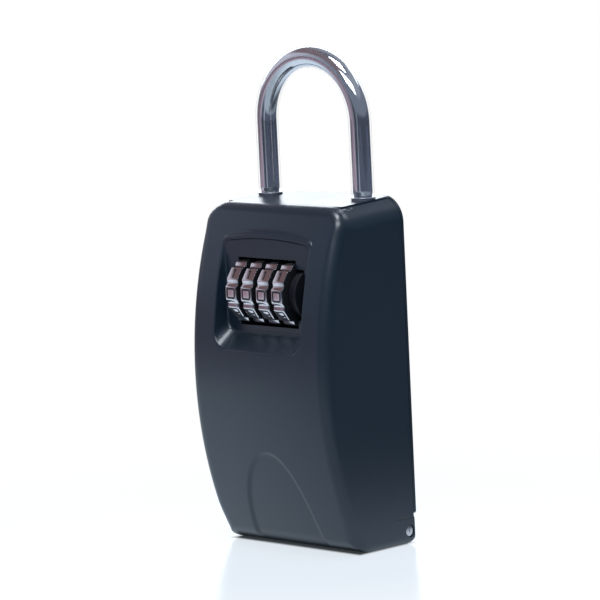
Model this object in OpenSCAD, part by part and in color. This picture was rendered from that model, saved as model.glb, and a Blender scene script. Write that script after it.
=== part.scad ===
// Portable key lock box: a deep front cover swings down on a pin at the foot of a shallow back
// body. Four numbered dials sit in a window of the cover, and a plated shackle stands on the back.
// Row frame: X to the right, Y from front to back, Z up. Origin at the middle of the foot.
// Depths named "_d" are measured forwards from the back plane.

/* [Case] */
// Width of the case
case_w = 72; // [70:0.5:74]
// Depth of the case, from the back plane to the crown of the front
case_d = 45.5; // [45:0.1:46]
// Height of the case at its rear top edge
case_h = 132; // [131.5:0.1:132.5]
// Radius of the curved front, seen from the side
front_r = 153.7; // [150:0.1:158]
// Height of the front's crown
crown_z = 67; // [66:0.5:68]
// Wall of the cast front cover
wall = 2.2; // [2:0.05:2.3]
// Slope of the top face in degrees, falling to the front
top_slope = 2.8; // [2.6:0.1:3]
// Radius of the top corners, seen from the front
top_corner_r = 9.5; // [9:0.1:10]
// Radius of the bottom corners, seen from the front
foot_corner_r = 3; // [2.5:0.1:3.5]
// Radius where the front turns under the foot
toe_r = 9.5; // [9:0.1:10]
// Radius of the edge between front and top
brow_r = 3; // [2.8:0.1:3.4]
// Radius of the front's two upright edges
side_edge_r = 4; // [3.5:0.1:4.5]

/* [Back body] */
// Thickness of the rim flange around the back
flange_t = 1.2; // [1:0.1:1.3]
// Height where the rim flange starts
flange_z = 11.4; // [11:0.1:12]
// Thickness of the back plate
back_t = 3.2; // [3:0.1:3.4]
// Half width of the tray that the cover closes over
tray_half = 33.2; // [33:0.05:33.3]
// Wall of the tray
tray_wall = 2.2; // [2:0.1:2.4]
// Depth of the tray's front rim
tray_d = 26.2; // [25.8:0.1:26.3]
// Underside of the tray
tray_z = 10.6; // [10.5:0.05:11]
// Top of the tray's deck, under the crown block
deck_z = 127; // [126.8:0.1:127.2]
// Thickness of the deck
deck_t = 2.4; // [2.3:0.1:2.6]
// Half width of the notch in the cover's top, which the crown block fills
notch_half = 30.2; // [30:0.1:30.4]
// Depth of the notch's front edge
notch_d = 26.7; // [26.6:0.1:27]
// Gap between the crown block and the notch
crown_gap = 0.2; // [0.15:0.05:0.3]

/* [Hinge] */
// Diameter of the hinge pin
pin_dia = 3.8; // [3.4:0.1:3.9]
// Depth of the hinge pin
pin_d = 3.6; // [3.5:0.05:3.7]
// Height of the hinge pin
pin_z = 5; // [5:0.05:5.1]
// Radius of the hinge lugs and of the cover's barrel
lug_r = 5; // [4.9:0.05:5]
// Radius of the heel below the pin, seen from the side
heel_r = 3; // [2.6:0.1:3.4]

/* [Dial window] */
// Half width of the window recess
window_half = 22.9; // [22.7:0.1:23.1]
// Bottom edge of the window recess
window_z0 = 76.5; // [76:0.1:77]
// Top edge of the window recess at its middle
window_z1 = 120.5; // [120:0.1:120.8]
// Radius of the window's arched top edge
window_arch_r = 101; // [90:1:120]
// Depth of the window's flat floor
floor_d = 36; // [35.9:0.05:36.1]
// Height where the floor meets the sloping sill
sill_z = 82.5; // [82:0.1:83]
// Thickness of the window's floor
floor_t = 1.6; // [1.5:0.1:1.8]

/* [Dials] */
// Radius from the axle to a dial's flat pads
dial_r = 12.5; // [12.4:0.05:12.6]
// Width of one dial
dial_w = 5.7; // [5.6:0.05:5.75]
// Distance from one dial to the next
dial_pitch = 8.1; // [8.05:0.05:8.2]
// Depth of the dial axle
dial_d = 32.9; // [32.8:0.05:33]
// Height of the dial axle
dial_z = 98.2; // [98:0.1:98.4]
// Depth of the grooves between the pads
groove_depth = 0.55; // [0.4:0.05:0.8]
// Half width of a pad's flat
pad_half = 2.45; // [2.2:0.05:2.5]
// Diameter of the dial axle
axle_dia = 4; // [3.8:0.1:4.2]
// Radius of the gate cams beside the dials
cam_r = 9; // [8.8:0.1:9.2]
// Thickness of a gate cam
cam_t = 1.7; // [1.5:0.1:1.8]
// Depth of a cam's gate
gate_depth = 2.4; // [2.2:0.1:2.5]

/* [Shackle] */
// Diameter of the shackle bar
bar_dia = 7; // [6.9:0.1:7]
// Outer diameter of the clear sleeve over the bar
sleeve_dia = 8.8; // [8.6:0.1:8.8]
// Half the distance between the two legs
leg_x = 24.65; // [24.5:0.05:24.8]
// Depth of the legs
leg_d = 9.5; // [9.4:0.05:9.6]
// Height where the straight legs end and the bow begins
spring_z = 160.1; // [158:0.1:162]
// Height where the clear sleeve starts
sleeve_z = 133.4; // [133.2:0.1:134]
// Lower end of the short leg
short_leg_z = 106; // [105.8:0.1:106.2]
// Lower end of the long leg
long_leg_z = 76; // [75.5:0.1:76.4]
// Diameter of the locking necks in both legs
neck_dia = 4.6; // [4.4:0.1:4.7]
// How far the shackle rises when it is released
shackle_travel = 28; // [27.5:0.1:28]
// Height of the rubber collars round the legs
seal_top_z = 132.4; // [132.3:0.1:132.6]

/* [Locks] */
// Height of the shackle lock slider's underside
slider_z = 111; // [110.9:0.05:111.1]
// Thickness of the shackle lock slider
slider_t = 1.6; // [1.5:0.1:1.7]
// Travel of the shackle lock slider
slider_travel = 3.5; // [3.4:0.1:3.6]
// Top of the retracted latch bolt
bolt_top_z = 121.9; // [121.6:0.1:122.1]
// Thickness of the strike plate
strike_t = 2; // [1.8:0.1:2.2]

/* [Hidden] */
$fn = 96;

eps = 0.01;
gap = 0.3;
far = 200;
half_w = case_w / 2;
cover_rear_d = flange_t + 0.2;
heel_d = 1;
corner_slip = 0.3;
edge_slip = 0.2;
barrel_half = 28;
lug_x = [barrel_half + gap, tray_half - eps];
arc_y = yo(case_d) + front_r;
pin_y = yo(pin_d);
pin_hole_r = pin_dia / 2 + 0.05;
axle_y = yo(dial_d);
leg_y = yo(leg_d);
deck_under = deck_z - deck_t;
tray_inner_half = tray_half - tray_wall;
window_rim = 2;
dial_x = [for (i = [0:3]) (i - 1.5) * dial_pitch];
cam_x = [for (x = dial_x) x + dial_pitch / 2];
dial_hole_r = axle_dia / 2 + 0.05;
dial_sweep_r = norm([dial_r, pad_half]);

// Lock housing behind the window
house_half = 22.6;
house_z0 = 80.5;
house_z1 = 119.6;
house_back_d = 17.6;
house_wall = 1.6;
bevel_d = [33.3, 34.3];
bevel_h = 2.4;
leaf_t = 0.4;
leaf_half = 2;
cheek_r = 9.4;
cheek_t = 1.6;
cheek_left_x = -dial_pitch * 2 + 0.35 - cheek_t / 2;
cheek_right_x = cam_x[3] + cam_t / 2 + gap + 0.15 + cheek_t / 2;
plate_half = 30.2;
post_x = 27;
post_z = [85, 115];
post_r = 2.6;
gate_half = 1.4;
lever_pin_r = 1.5;
axle_x = [cheek_left_x - cheek_t / 2 + 0.5, cheek_right_x + cheek_t / 2 - 0.5];
screw_r = 1.25;
bolt_half = 6;
bolt_d = [21.6, 24];
bolt_z0 = 112.6;
shelf_z = [107.4, 108.6];
shelf_d = 23.4;
latch_spring_d = 22.2;
fence_z = 113.4;
fence_h = 2.8;
fence_d = [30.4, 33.9];
fence_half = 20.7;
rib_x = [17.3, 19.3];
fence_spring_x = 12.5;
latch_spring_x = 3.6;
lever_x = -13;
lever_z = 90;
boss_r = 6.2;
boss_z = 113;
retainer_z = slider_z - 0.2 - 1.6;
pillar_x = 16;
pillar_r = [3.2, 2.2];
retainer_t = 1.6;
ring_z = retainer_z - shackle_travel - 0.2 - 1.3;
ring_t = 1.3;
ring_hole_r = 2.65;
ring_r = 4.5;
seal_r = 4.5;
seal_z0 = 130;
seal_lip_z = 131.85;
strike_half = 16;
strike_plate_d = [20.4, 25.8];
strike_d = 23;
strike_screw_x = 12;
strike_bite = 1.4;
hook_z = 62;
hook_screw_z = 70;

function yo(depth) = case_d / 2 - depth;

// ---------------------------------------------------------------- outlines and helpers

// Extrudes a YZ outline along X, from x0 to x1.
module along_x(x0, x1) {
    translate([x0, 0, 0]) rotate([90, 0, 90]) linear_extrude(x1 - x0) children();
}

// Extrudes an XZ outline along Y, between two depths from the back plane.
module along_y(d0, d1) {
    translate([0, yo(d0), 0]) rotate([90, 0, 0]) linear_extrude(d1 - d0) children();
}

// A round bar along X about a depth and height.
module bar_x(x0, x1, r, depth, z) {
    translate([x0, yo(depth), z]) rotate([0, 90, 0]) cylinder(h = x1 - x0, r = r);
}

// A round bar along Y between two depths.
module bar_y(x, z, r, d0, d1) {
    translate([x, yo(d0), z]) rotate([90, 0, 0]) cylinder(h = d1 - d0, r = r);
}

// A box given by its X, depth and Z ranges.
module block(xs, ds, zs) {
    translate([xs[0], yo(ds[1]), zs[0]]) cube([xs[1] - xs[0], ds[1] - ds[0], zs[1] - zs[0]]);
}

// What lies outside a corner circle, in the quadrant sx, sz of its centre.
module corner_bite(c, r, sx, sz) {
    difference() {
        translate([c[0] + min(sx, 0) * (r + 1), c[1] + min(sz, 0) * (r + 1)]) square(r + 1);
        translate(c) circle(r);
    }
}

// Front view outline with rounded top and bottom corners.
module front_outline(half, z0, z1, r_top, r_foot) {
    difference() {
        translate([-half, z0]) square([2 * half, z1 - z0]);
        for (s = [-1, 1]) {
            corner_bite([s * (half - r_top), z1 - r_top], r_top, s, 1);
            corner_bite([s * (half - r_foot), z0 + r_foot], r_foot, s, -1);
        }
    }
}

// Front view outline whose shoulders reach a little above the sloping top, which trims them.
module shoulder_outline(inset, z0, r_foot) {
    front_outline(half_w - inset, z0, case_h + corner_slip - inset,
        top_corner_r + corner_slip - inset, max(r_foot - inset, 0.8));
}

// Cuts away what lies outside a circle between two directions from its centre.
module round_off(c, r, a0, a1, reach) {
    mid = (a0 + a1) / 2;
    difference() {
        translate(c) polygon([
            [0, 0], reach * [cos(a0), sin(a0)], 1.3 * reach * [cos(mid), sin(mid)],
            reach * [cos(a1), sin(a1)]
        ]);
        translate(c) circle(r);
    }
}

// Centre of the toe circle, tangent to the front arc and to the foot plane.
function toe_centre(arc_r, foot, r) =
    [arc_y - sqrt(pow(arc_r - r, 2) - pow(crown_z - foot - r, 2)), foot + r];

// Centre of the brow circle: its distance to the top line is r, and the front arc holds it.
function brow_centre(arc_r, drop, r) =
    let (
        p = [yo(0), case_h - (drop + r) / cos(top_slope)],
        u = [-cos(top_slope), -sin(top_slope)],
        q = p - [arc_y, crown_z],
        b = q * u,
        reach = -b + sqrt(b * b - q * q + pow(arc_r - r, 2))
    ) p + reach * u;

// Side view of the housing: curved front, sloping top, rounded toe and brow. The front and top
// come in by "inset" and the foot by "foot".
module side_profile(inset, foot, rear_d) {
    arc_r = front_r - inset;
    r_toe = max(toe_r - foot, 1);
    r_brow = max(brow_r - inset, 0.8);
    toe = toe_centre(arc_r, foot, r_toe);
    brow = brow_centre(arc_r, inset, r_brow);
    top = case_h - inset / cos(top_slope);
    run = case_d + 10;
    difference() {
        intersection() {
            translate([arc_y, crown_z]) circle(arc_r, $fn = 360);
            polygon([
                [yo(rear_d), foot], [yo(run), foot], [yo(run), top - run * tan(top_slope)],
                [yo(rear_d), top - rear_d * tan(top_slope)]
            ]);
        }
        round_off(toe, r_toe, atan2(toe[1] - crown_z, toe[0] - arc_y) + 360, 270, 1.6 * r_toe);
        round_off(brow, r_brow, 90 + top_slope, atan2(brow[1] - crown_z, brow[0] - arc_y),
            2 * r_brow + 1);
    }
}

// The housing's full form at an inset from its outer faces.
module housing_form(inset, rear_d) {
    intersection() {
        along_y(min(rear_d, 0), case_d + 5) shoulder_outline(inset, inset, foot_corner_r);
        along_x(-half_w, half_w) side_profile(inset, inset, rear_d);
        translate([0, arc_y, crown_z]) rotate([0, 90, 0]) rotate_extrude($fn = 360)
            rotate([0, 0, -90])
            front_outline(half_w + edge_slip - inset, far / 2.2, front_r - inset,
                max(side_edge_r - inset, 1), 1);
    }
}

// Outline of the window, seen from the front.
module window_outline(grow) {
    r = 4.5 + grow;
    intersection() {
        difference() {
            translate([-window_half - grow, window_z0 - grow])
                square([2 * (window_half + grow), window_z1 - window_z0 + 2 * grow]);
            for (s = [-1, 1])
                corner_bite([s * (window_half + grow - r), window_z0 - grow + r], r, s, -1);
        }
        translate([0, window_z1 - window_arch_r]) circle(window_arch_r + grow, $fn = 360);
    }
}

// A pan head screw along Y, its head to the rear.
module screw_y(x, z, head_d, length) {
    bar_y(x, z, 2.3, head_d - 1.4, head_d);
    bar_y(x, z, screw_r, head_d - eps, head_d + length);
}

// A pan head screw along Z, its head below.
module screw_z(x, y, head_z, length) {
    translate([x, y, head_z - 1.4]) cylinder(h = 1.4, r = 2.3);
    translate([x, y, head_z - eps]) cylinder(h = length, r = screw_r);
}

// A coil spring along Z as a tube of wire swept up a helix.
module coil_spring(x, y, z0, z1, r, wire, turns) {
    n = 10;
    sides = 6;
    rings = turns * n;
    height = z1 - z0 - wire;
    points = [
        for (i = [0:rings], k = [0:sides - 1])
            let (a = 360 * i / n, b = 360 * k / sides, rr = r + wire / 2 * cos(b))
            [x + rr * cos(a), y + rr * sin(a), z0 + wire / 2 + height * i / rings
                + wire / 2 * sin(b)]
    ];
    walls = [
        for (i = [0:rings - 1], k = [0:sides - 1])
            let (m = (k + 1) % sides, p = i * sides)
            [p + k, p + sides + k, p + sides + m, p + m]
    ];
    ends = [[for (k = [0:sides - 1]) k], [for (k = [sides - 1:-1:0]) rings * sides + k]];
    polyhedron(points = points, faces = concat(walls, ends), convexity = 10);
}

// ---------------------------------------------------------------- back body and what it holds

// Rim flange, and the block that fills the cover's notch flush with the sloping top.
module flange_and_crown() {
    half = notch_half - crown_gap;
    reach = notch_d - crown_gap;
    flange_corner_r = 1;
    intersection() {
        union() {
            block([-half_w, half_w], [0, flange_t], [flange_z, case_h + 1]);
            block([-half, half], [0, reach], [deck_under, case_h + 1]);
        }
        along_y(0, reach + 1) shoulder_outline(0, flange_z, flange_corner_r);
        along_x(-half_w, half_w) polygon([
            [yo(0), 0], [yo(reach + 1), 0],
            [yo(reach + 1), case_h - (reach + 1) * tan(top_slope)], [yo(0), case_h]
        ]);
    }
}

// Bosses that guide the shackle's legs under the deck.
module leg_bosses() {
    for (s = [-1, 1])
        translate([s * leg_x, leg_y, boss_z]) cylinder(h = deck_under - boss_z + eps, r = boss_r);
}

// Stepped pillars that hold the slider and its retainer under the deck.
module slider_pillars() {
    step_z = slider_z + slider_t + 0.2;
    for (s = [-1, 1]) translate([s * pillar_x, leg_y, 0]) {
        translate([0, 0, step_z]) cylinder(h = deck_under - step_z + eps, r = pillar_r[0]);
        translate([0, 0, retainer_z + retainer_t])
            cylinder(h = deck_under - retainer_z - retainer_t, r = pillar_r[1]);
    }
}

// Lugs that hold the hinge pin, just inside the cover's side walls.
module hinge_lugs() {
    for (s = [0, 1]) mirror([s, 0, 0]) {
        intersection() {
            bar_x(lug_x[0], lug_x[1], lug_r, pin_d, pin_z);
            block(lug_x, [0, 2 * lug_r], [-1, 2 * lug_r + 1]);
        }
        block(lug_x, [0, pin_d + lug_r], [pin_z, tray_z + 2]);
    }
}

module back_body() {
    color([0.11, 0.12, 0.14]) difference() {
        union() {
            flange_and_crown();
            difference() {
                along_y(eps, tray_d) front_outline(tray_half, tray_z, deck_z, 7, 4);
                along_y(back_t, tray_d + 1)
                    front_outline(tray_inner_half, tray_z + tray_wall, deck_under, 5, 2.5);
            }
            intersection() {
                leg_bosses();
                block([-tray_half, tray_half], [0, tray_d], [0, deck_z]);
            }
            slider_pillars();
            hinge_lugs();
        }
        for (s = [-1, 1]) translate([s * leg_x, leg_y, 0]) {
            cylinder(h = far, r = bar_dia / 2 + 0.06);
            translate([0, 0, seal_z0]) cylinder(h = 10, r = seal_r + 0.08);
        }
        bar_x(-far / 2, far / 2, pin_dia / 2, pin_d, pin_z);
        intersection() {
            bar_x(-lug_x[0], lug_x[0], lug_r + gap, pin_d, pin_z);
            block([-far, far], [-1, far], [-1, tray_z]);
        }
        for (s = [-1, 1]) {
            translate([s * strike_screw_x, yo(strike_d), deck_under - 1])
                cylinder(h = strike_bite + 1.4, r = screw_r);
            translate([s * pillar_x, leg_y, 100]) cylinder(h = 24, r = screw_r);
        }
        bar_y(0, hook_screw_z, screw_r, 1.2, 10);
    }
}

module hinge_pin() {
    dome_r = 8;
    color([0.78, 0.78, 0.8]) intersection() {
        bar_x(-half_w, half_w, pin_dia / 2, pin_d, pin_z);
        translate([0, pin_y, pin_z]) rotate([0, 90, 0]) union() {
            for (s = [-1, 1]) translate([0, 0, s * (half_w - 0.2 - dome_r)]) sphere(r = dome_r);
            cylinder(h = case_w - 2, r = pin_dia, center = true);
        }
    }
}

module shackle_seal(side) {
    color([0.05, 0.05, 0.055]) translate([side * leg_x, leg_y, 0]) rotate_extrude() polygon([
        [bar_dia / 2 + 0.06, seal_z0], [seal_r, seal_z0], [seal_r, seal_lip_z],
        [seal_r + 0.3, seal_lip_z + 0.1], [seal_r + 0.3, seal_top_z], [bar_dia / 2 + 0.06, seal_top_z]
    ]);
}

module shackle_seal_left() { shackle_seal(-1); }
module shackle_seal_right() { shackle_seal(1); }

module strike_plate() {
    color([0.7, 0.71, 0.73]) difference() {
        block([-strike_half, strike_half], strike_plate_d, [deck_under - strike_t, deck_under]);
        block([-bolt_half - gap, bolt_half + gap], [bolt_d[0] - gap, bolt_d[1] + gap], [110, 130]);
        for (s = [-1, 1])
            translate([s * strike_screw_x, yo(strike_d), 110]) cylinder(h = 20, r = screw_r);
    }
}

module strike_screws() {
    color([0.6, 0.6, 0.62]) for (s = [-1, 1]) {
        translate([s * strike_screw_x, yo(strike_d), deck_under - strike_t - 0.7])
            cylinder(h = 0.7, r = 2.1);
        translate([s * strike_screw_x, yo(strike_d), deck_under - strike_t - eps])
            cylinder(h = strike_t + strike_bite, r = screw_r);
    }
}

module slider_retainer() {
    color([0.62, 0.63, 0.65]) difference() {
        block([-30.6, 30.6], [leg_d - 5, leg_d + 5.5], [retainer_z, retainer_z + retainer_t]);
        for (s = [-1, 1]) {
            translate([s * leg_x, leg_y, 100]) cylinder(h = 20, r = bar_dia / 2 + 0.3);
            translate([s * pillar_x, leg_y, 100]) cylinder(h = 20, r = screw_r);
        }
        block([-7, 7 + slider_travel], [leg_d + 2.9, 30], [100, 120]);
    }
}

module retainer_screws() {
    color([0.6, 0.6, 0.62])
        for (s = [-1, 1]) screw_z(s * pillar_x, leg_y, retainer_z, 12);
}

module key_hook() {
    color([0.7, 0.71, 0.73]) difference() {
        union() {
            block([-5, 5], [back_t, back_t + 1], [hook_z, hook_screw_z + 4]);
            block([-2, 2], [back_t, back_t + 9], [hook_z, hook_z + 1.2]);
            block([-2, 2], [back_t + 8, back_t + 9], [hook_z, hook_z + 4.5]);
        }
        bar_y(0, hook_screw_z, screw_r, 0, 20);
    }
}

module hook_screw() {
    color([0.6, 0.6, 0.62]) {
        bar_y(0, hook_screw_z, 2.3, back_t + 1, back_t + 2.2);
        bar_y(0, hook_screw_z, screw_r, 1.4, back_t + 1 + eps);
    }
}

// ---------------------------------------------------------------- shackle and its lock

// Slots across the two legs of a body that slides along X under the deck.
module keyhole(x) {
    wide = bar_dia / 2 + 0.25;
    narrow = neck_dia / 2 + 0.2;
    translate([x, leg_y, slider_z - 1]) cylinder(h = 5, r = wide);
    translate([x - slider_travel, leg_y, slider_z - 1]) cylinder(h = 5, r = narrow);
    translate([x - slider_travel, leg_y - narrow, slider_z - 1])
        cube([slider_travel, 2 * narrow, 5]);
}

// A groove in a turned leg, from z0 to z1 at radius r_in.
function groove(r_in, z0, z1) =
    [[bar_dia / 2, z0], [r_in, z0], [r_in, z1], [bar_dia / 2, z1]];

// The neck that the slider grips, at a height that is "drop" below its resting place.
function neck(drop) =
    groove(neck_dia / 2, slider_z - 0.9 - drop, slider_z + slider_t + 0.8 - drop);

// One leg as a turned bar. The long leg has a ring groove and a second neck for the raised place.
module shackle_leg(s, z_end, is_long) {
    r = bar_dia / 2;
    lower = is_long ? concat(
        groove(ring_hole_r - 0.05, ring_z - 0.2, ring_z + ring_t + 0.2),
        neck(shackle_travel)
    ) : [];
    translate([s * leg_x, leg_y, 0]) rotate_extrude() polygon(concat(
        [[0, z_end], [r - 1, z_end], [r, z_end + 1]], lower, neck(0), [[r, spring_z], [0, spring_z]]
    ));
}

module shackle() {
    color([0.8, 0.81, 0.83]) {
        shackle_leg(-1, short_leg_z, false);
        shackle_leg(1, long_leg_z, true);
        translate([0, leg_y, spring_z]) rotate([90, 0, 0]) rotate_extrude(angle = 180)
            translate([leg_x, 0]) circle(bar_dia / 2);
    }
}

module shackle_sleeve() {
    color([0.85, 0.9, 0.95, 0.35]) {
        for (s = [-1, 1]) translate([s * leg_x, leg_y, sleeve_z]) difference() {
            cylinder(h = spring_z - sleeve_z, r = sleeve_dia / 2);
            translate([0, 0, -1]) cylinder(h = spring_z, r = bar_dia / 2 + 0.02);
        }
        translate([0, leg_y, spring_z]) rotate([90, 0, 0]) rotate_extrude(angle = 180)
            translate([leg_x, 0]) difference() {
                circle(sleeve_dia / 2);
                circle(bar_dia / 2 + 0.02);
            }
    }
}

module shackle_ring() {
    color([0.55, 0.56, 0.58]) translate([leg_x, leg_y, ring_z]) difference() {
        cylinder(h = ring_t, r = ring_r);
        translate([0, 0, -1]) cylinder(h = 4, r = ring_hole_r);
    }
}

// Slot for a pillar, as long as the slider's travel.
module pillar_slot(x) {
    r = pillar_r[1] + gap;
    for (dx = [0, -slider_travel])
        translate([x + dx, leg_y, slider_z - 1]) cylinder(h = 5, r = r);
    translate([x - slider_travel, leg_y - r, slider_z - 1]) cube([slider_travel, 2 * r, 5]);
}

module shackle_lock_slider() {
    color([0.75, 0.62, 0.3]) difference() {
        union() {
            block([-30, 27.4], [leg_d - 4.6, leg_d + 4.6], [slider_z, slider_z + slider_t]);
            block([-5.5, 5.5], [leg_d + 4.6 - 1.4, leg_d + 4.6], [99, slider_z + eps]);
        }
        for (s = [-1, 1]) {
            keyhole(s * leg_x);
            pillar_slot(s * pillar_x);
        }
    }
}

// ---------------------------------------------------------------- front cover

// The arch pressed into the lower front.
module arch_recess() {
    half_x = 18.7;
    half_z = 38.4;
    sunk = 0.8;
    n = 60;
    difference() {
        along_y(24, case_d + 5)
            polygon([for (i = [0:n]) [half_x * cos(180 * i / n), half_z * sin(180 * i / n)]]);
        along_x(-half_w, half_w) side_profile(sunk, 0, 0);
    }
}

// The window's recess: a flat floor with a sill that slopes out to the front.
module window_recess() {
    intersection() {
        along_y(floor_d - 1, case_d + 5) window_outline(0);
        along_x(-half_w, half_w) polygon([
            [yo(floor_d), sill_z], [yo(45.2), window_z0], [yo(case_d + 9), window_z0 - 6],
            [yo(case_d + 9), case_h], [yo(floor_d), case_h]
        ]);
    }
}

// Opening in the window's floor: tall for the dials, lower for the cheeks of their frame.
module dial_opening() {
    through = [floor_d - floor_t - 5, floor_d + 5];
    cheek_reach = cheek_r + 0.1;
    block([dial_x[0] - dial_w / 2 - gap, dial_x[3] + dial_w / 2 + gap], through,
        [dial_z - dial_sweep_r - 0.15, dial_z + dial_sweep_r + 0.15]);
    block([cheek_left_x - cheek_t / 2 - gap, cheek_right_x + cheek_t / 2 + gap], through,
        [dial_z - cheek_reach, dial_z + cheek_reach]);
}

module front_cover() {
    color([0.13, 0.14, 0.165]) difference() {
        union() {
            difference() {
                housing_form(0, cover_rear_d);
                housing_form(wall, -5);
            }
            intersection() {
                housing_form(0.5, cover_rear_d);
                along_y(floor_d - floor_t, case_d) window_outline(window_rim);
            }
            intersection() {
                bar_x(-barrel_half, barrel_half, lug_r, pin_d, pin_z);
                block([-barrel_half, barrel_half], [cover_rear_d, 20], [-1, 20]);
            }
            for (s = [0, 1]) mirror([s, 0, 0])
                block([half_w - wall, half_w], [heel_d, cover_rear_d + 1], [heel_r, 2 * lug_r]);
            intersection() {
                for (s = [-1, 1], z = post_z)
                    bar_y(s * post_x, z, post_r, house_back_d + house_wall, case_d);
                housing_form(0.5, cover_rear_d);
            }
        }
        window_recess();
        dial_opening();
        arch_recess();
        bar_x(-far / 2, far / 2, pin_hole_r, pin_d, pin_z);
        for (s = [0, 1]) mirror([s, 0, 0]) {
            bar_x(barrel_half, lug_x[1] + gap, lug_r + gap, pin_d, pin_z);
            bar_x(half_w - 0.8, far / 2, pin_hole_r + 0.35, pin_d, pin_z);
            difference() {
                block([lug_x[1], far / 2], [-1, heel_d + heel_r], [-1, heel_r]);
                bar_x(lug_x[1], far / 2, heel_r, heel_d + heel_r, heel_r);
            }
        }
        difference() {
            block([-lug_x[1], lug_x[1]], [-1, pin_d], [-1, pin_z]);
            bar_x(-far / 2, far / 2, lug_r, pin_d, pin_z);
        }
        block([-notch_half, notch_half], [-1, notch_d], [case_h - 12, case_h + 5]);
        for (s = [-1, 1], z = post_z) bar_y(s * post_x, z, screw_r, 0, house_back_d + 12);
    }
}

// ---------------------------------------------------------------- combination lock

module lock_housing() {
    inner = house_half - house_wall;
    plate_d = [house_back_d, house_back_d + house_wall];
    color([0.06, 0.062, 0.068]) difference() {
        union() {
            difference() {
                block([-house_half, house_half], [house_back_d, floor_d - floor_t - 0.2],
                    [house_z0, house_z1]);
                block([-inner, inner], [plate_d[1], floor_d],
                    [house_z0 + house_wall, house_z1 - house_wall]);
                along_x(-half_w, half_w) polygon([
                    [yo(bevel_d[0]), house_z1 + 1], [yo(bevel_d[0]), house_z1],
                    [yo(bevel_d[1]), house_z1 - bevel_h], [yo(floor_d), house_z1 - bevel_h],
                    [yo(floor_d), house_z1 + 1]
                ]);
            }
            block([-plate_half, plate_half], plate_d, [house_z0, house_z1]);
            block([-bolt_half - 0.5, bolt_half + 0.5], [house_back_d + 1, shelf_d], shelf_z);
            for (s = [0, 1]) mirror([s, 0, 0])
                block(rib_x, [house_back_d + 1, fence_d[0] - 0.2], [112, house_z1 - 1]);
            for (x = [cheek_left_x, cheek_right_x]) {
                bar_x(x - cheek_t / 2, x + cheek_t / 2, cheek_r, dial_d, dial_z);
                block([x - cheek_t / 2, x + cheek_t / 2], [house_back_d + 1, dial_d],
                    [dial_z - cheek_r, dial_z + cheek_r]);
            }
        }
        bar_x(axle_x[0], axle_x[1], axle_dia / 2 + 0.02, dial_d, dial_z);
        for (s = [-1, 1], z = post_z) bar_y(s * post_x, z, screw_r + 0.1, 0, 25);
        block([-bolt_half - 0.2, bolt_half + 0.2], [bolt_d[0] - 0.2, bolt_d[1] + 0.2], [117, 125]);
        bar_y(lever_x, lever_z, lever_pin_r + 0.02, 0, 22);
    }
}

module housing_screws() {
    color([0.6, 0.6, 0.62])
        for (s = [-1, 1], z = post_z) screw_y(s * post_x, z, house_back_d, 10);
}

module dial_axle() {
    color([0.7, 0.71, 0.73])
        bar_x(axle_x[0] + 0.05, axle_x[1] - 0.05, axle_dia / 2, dial_d, dial_z);
}

// Comb of leaf fingers behind the dials, one finger for each dial.
module detent_spring() {
    color([0.75, 0.7, 0.55]) {
        leaf_d = [house_back_d + house_wall, house_back_d + house_wall + leaf_t];
        block([dial_x[0] - leaf_half - 0.5, dial_x[3] + leaf_half + 0.5], leaf_d, [83, 88.5]);
        for (x = dial_x) block([x - leaf_half, x + leaf_half], leaf_d, [88, 96]);
    }
}

// One dial: ten flat pads with V grooves between them, whose floors are narrow.
module dial_profile() {
    foot_half = 0.2;
    foot_r = dial_r - groove_depth;
    foot_a = asin(foot_half / foot_r);
    polygon([
        for (i = [0:9]) let (a = 36 * i) each [
            dial_r * [cos(a), sin(a)] + pad_half * [sin(a), -cos(a)],
            dial_r * [cos(a), sin(a)] - pad_half * [sin(a), -cos(a)],
            foot_r * [cos(a + 18 - foot_a), sin(a + 18 - foot_a)],
            foot_r * [cos(a + 18 + foot_a), sin(a + 18 + foot_a)]
        ]
    ]);
}

module dial(i) {
    color([0.82, 0.8, 0.82]) translate([0, axle_y, dial_z]) difference() {
        along_x(dial_x[i] - dial_w / 2, dial_x[i] + dial_w / 2) rotate(180) dial_profile();
        translate([-far / 2, 0, 0]) rotate([0, 90, 0]) cylinder(h = far, r = dial_hole_r);
    }
}

module dial_1() { dial(0); }
module dial_2() { dial(1); }
module dial_3() { dial(2); }
module dial_4() { dial(3); }

// A gate cam: its gate stands on top, and its code-change slot, between two numbers, at the rear.
module gate_cam(i) {
    color([0.05, 0.05, 0.055]) difference() {
        bar_x(cam_x[i] - cam_t / 2, cam_x[i] + cam_t / 2, cam_r, dial_d, dial_z);
        bar_x(-far / 2, far / 2, dial_hole_r, dial_d, dial_z);
        block([cam_x[i] - 2, cam_x[i] + 2], [dial_d - gate_half, dial_d + gate_half],
            [dial_z + cam_r - gate_depth, dial_z + cam_r + 2]);
        block([cam_x[i] - 2, cam_x[i] + 2], [dial_d - cam_r - 2, dial_d - cam_r + gate_depth],
            [dial_z - gate_half, dial_z + gate_half]);
    }
}

module gate_cam_1() { gate_cam(0); }
module gate_cam_2() { gate_cam(1); }
module gate_cam_3() { gate_cam(2); }
module gate_cam_4() { gate_cam(3); }

module fence_bar() {
    color([0.7, 0.71, 0.73]) {
        block([-fence_half, fence_half], fence_d, [fence_z, fence_z + fence_h]);
        for (x = cam_x)
            block([x - 0.6, x + 0.6], [dial_d - 0.9, dial_d + 0.9],
                [dial_z + cam_r + 0.3, fence_z + eps]);
    }
}

module fence_springs() {
    color([0.66, 0.67, 0.7]) for (s = [-1, 1])
        coil_spring(s * fence_spring_x, yo(32.1), fence_z + fence_h, house_z1 - house_wall, 1.1,
            0.35, 3);
}

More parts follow.
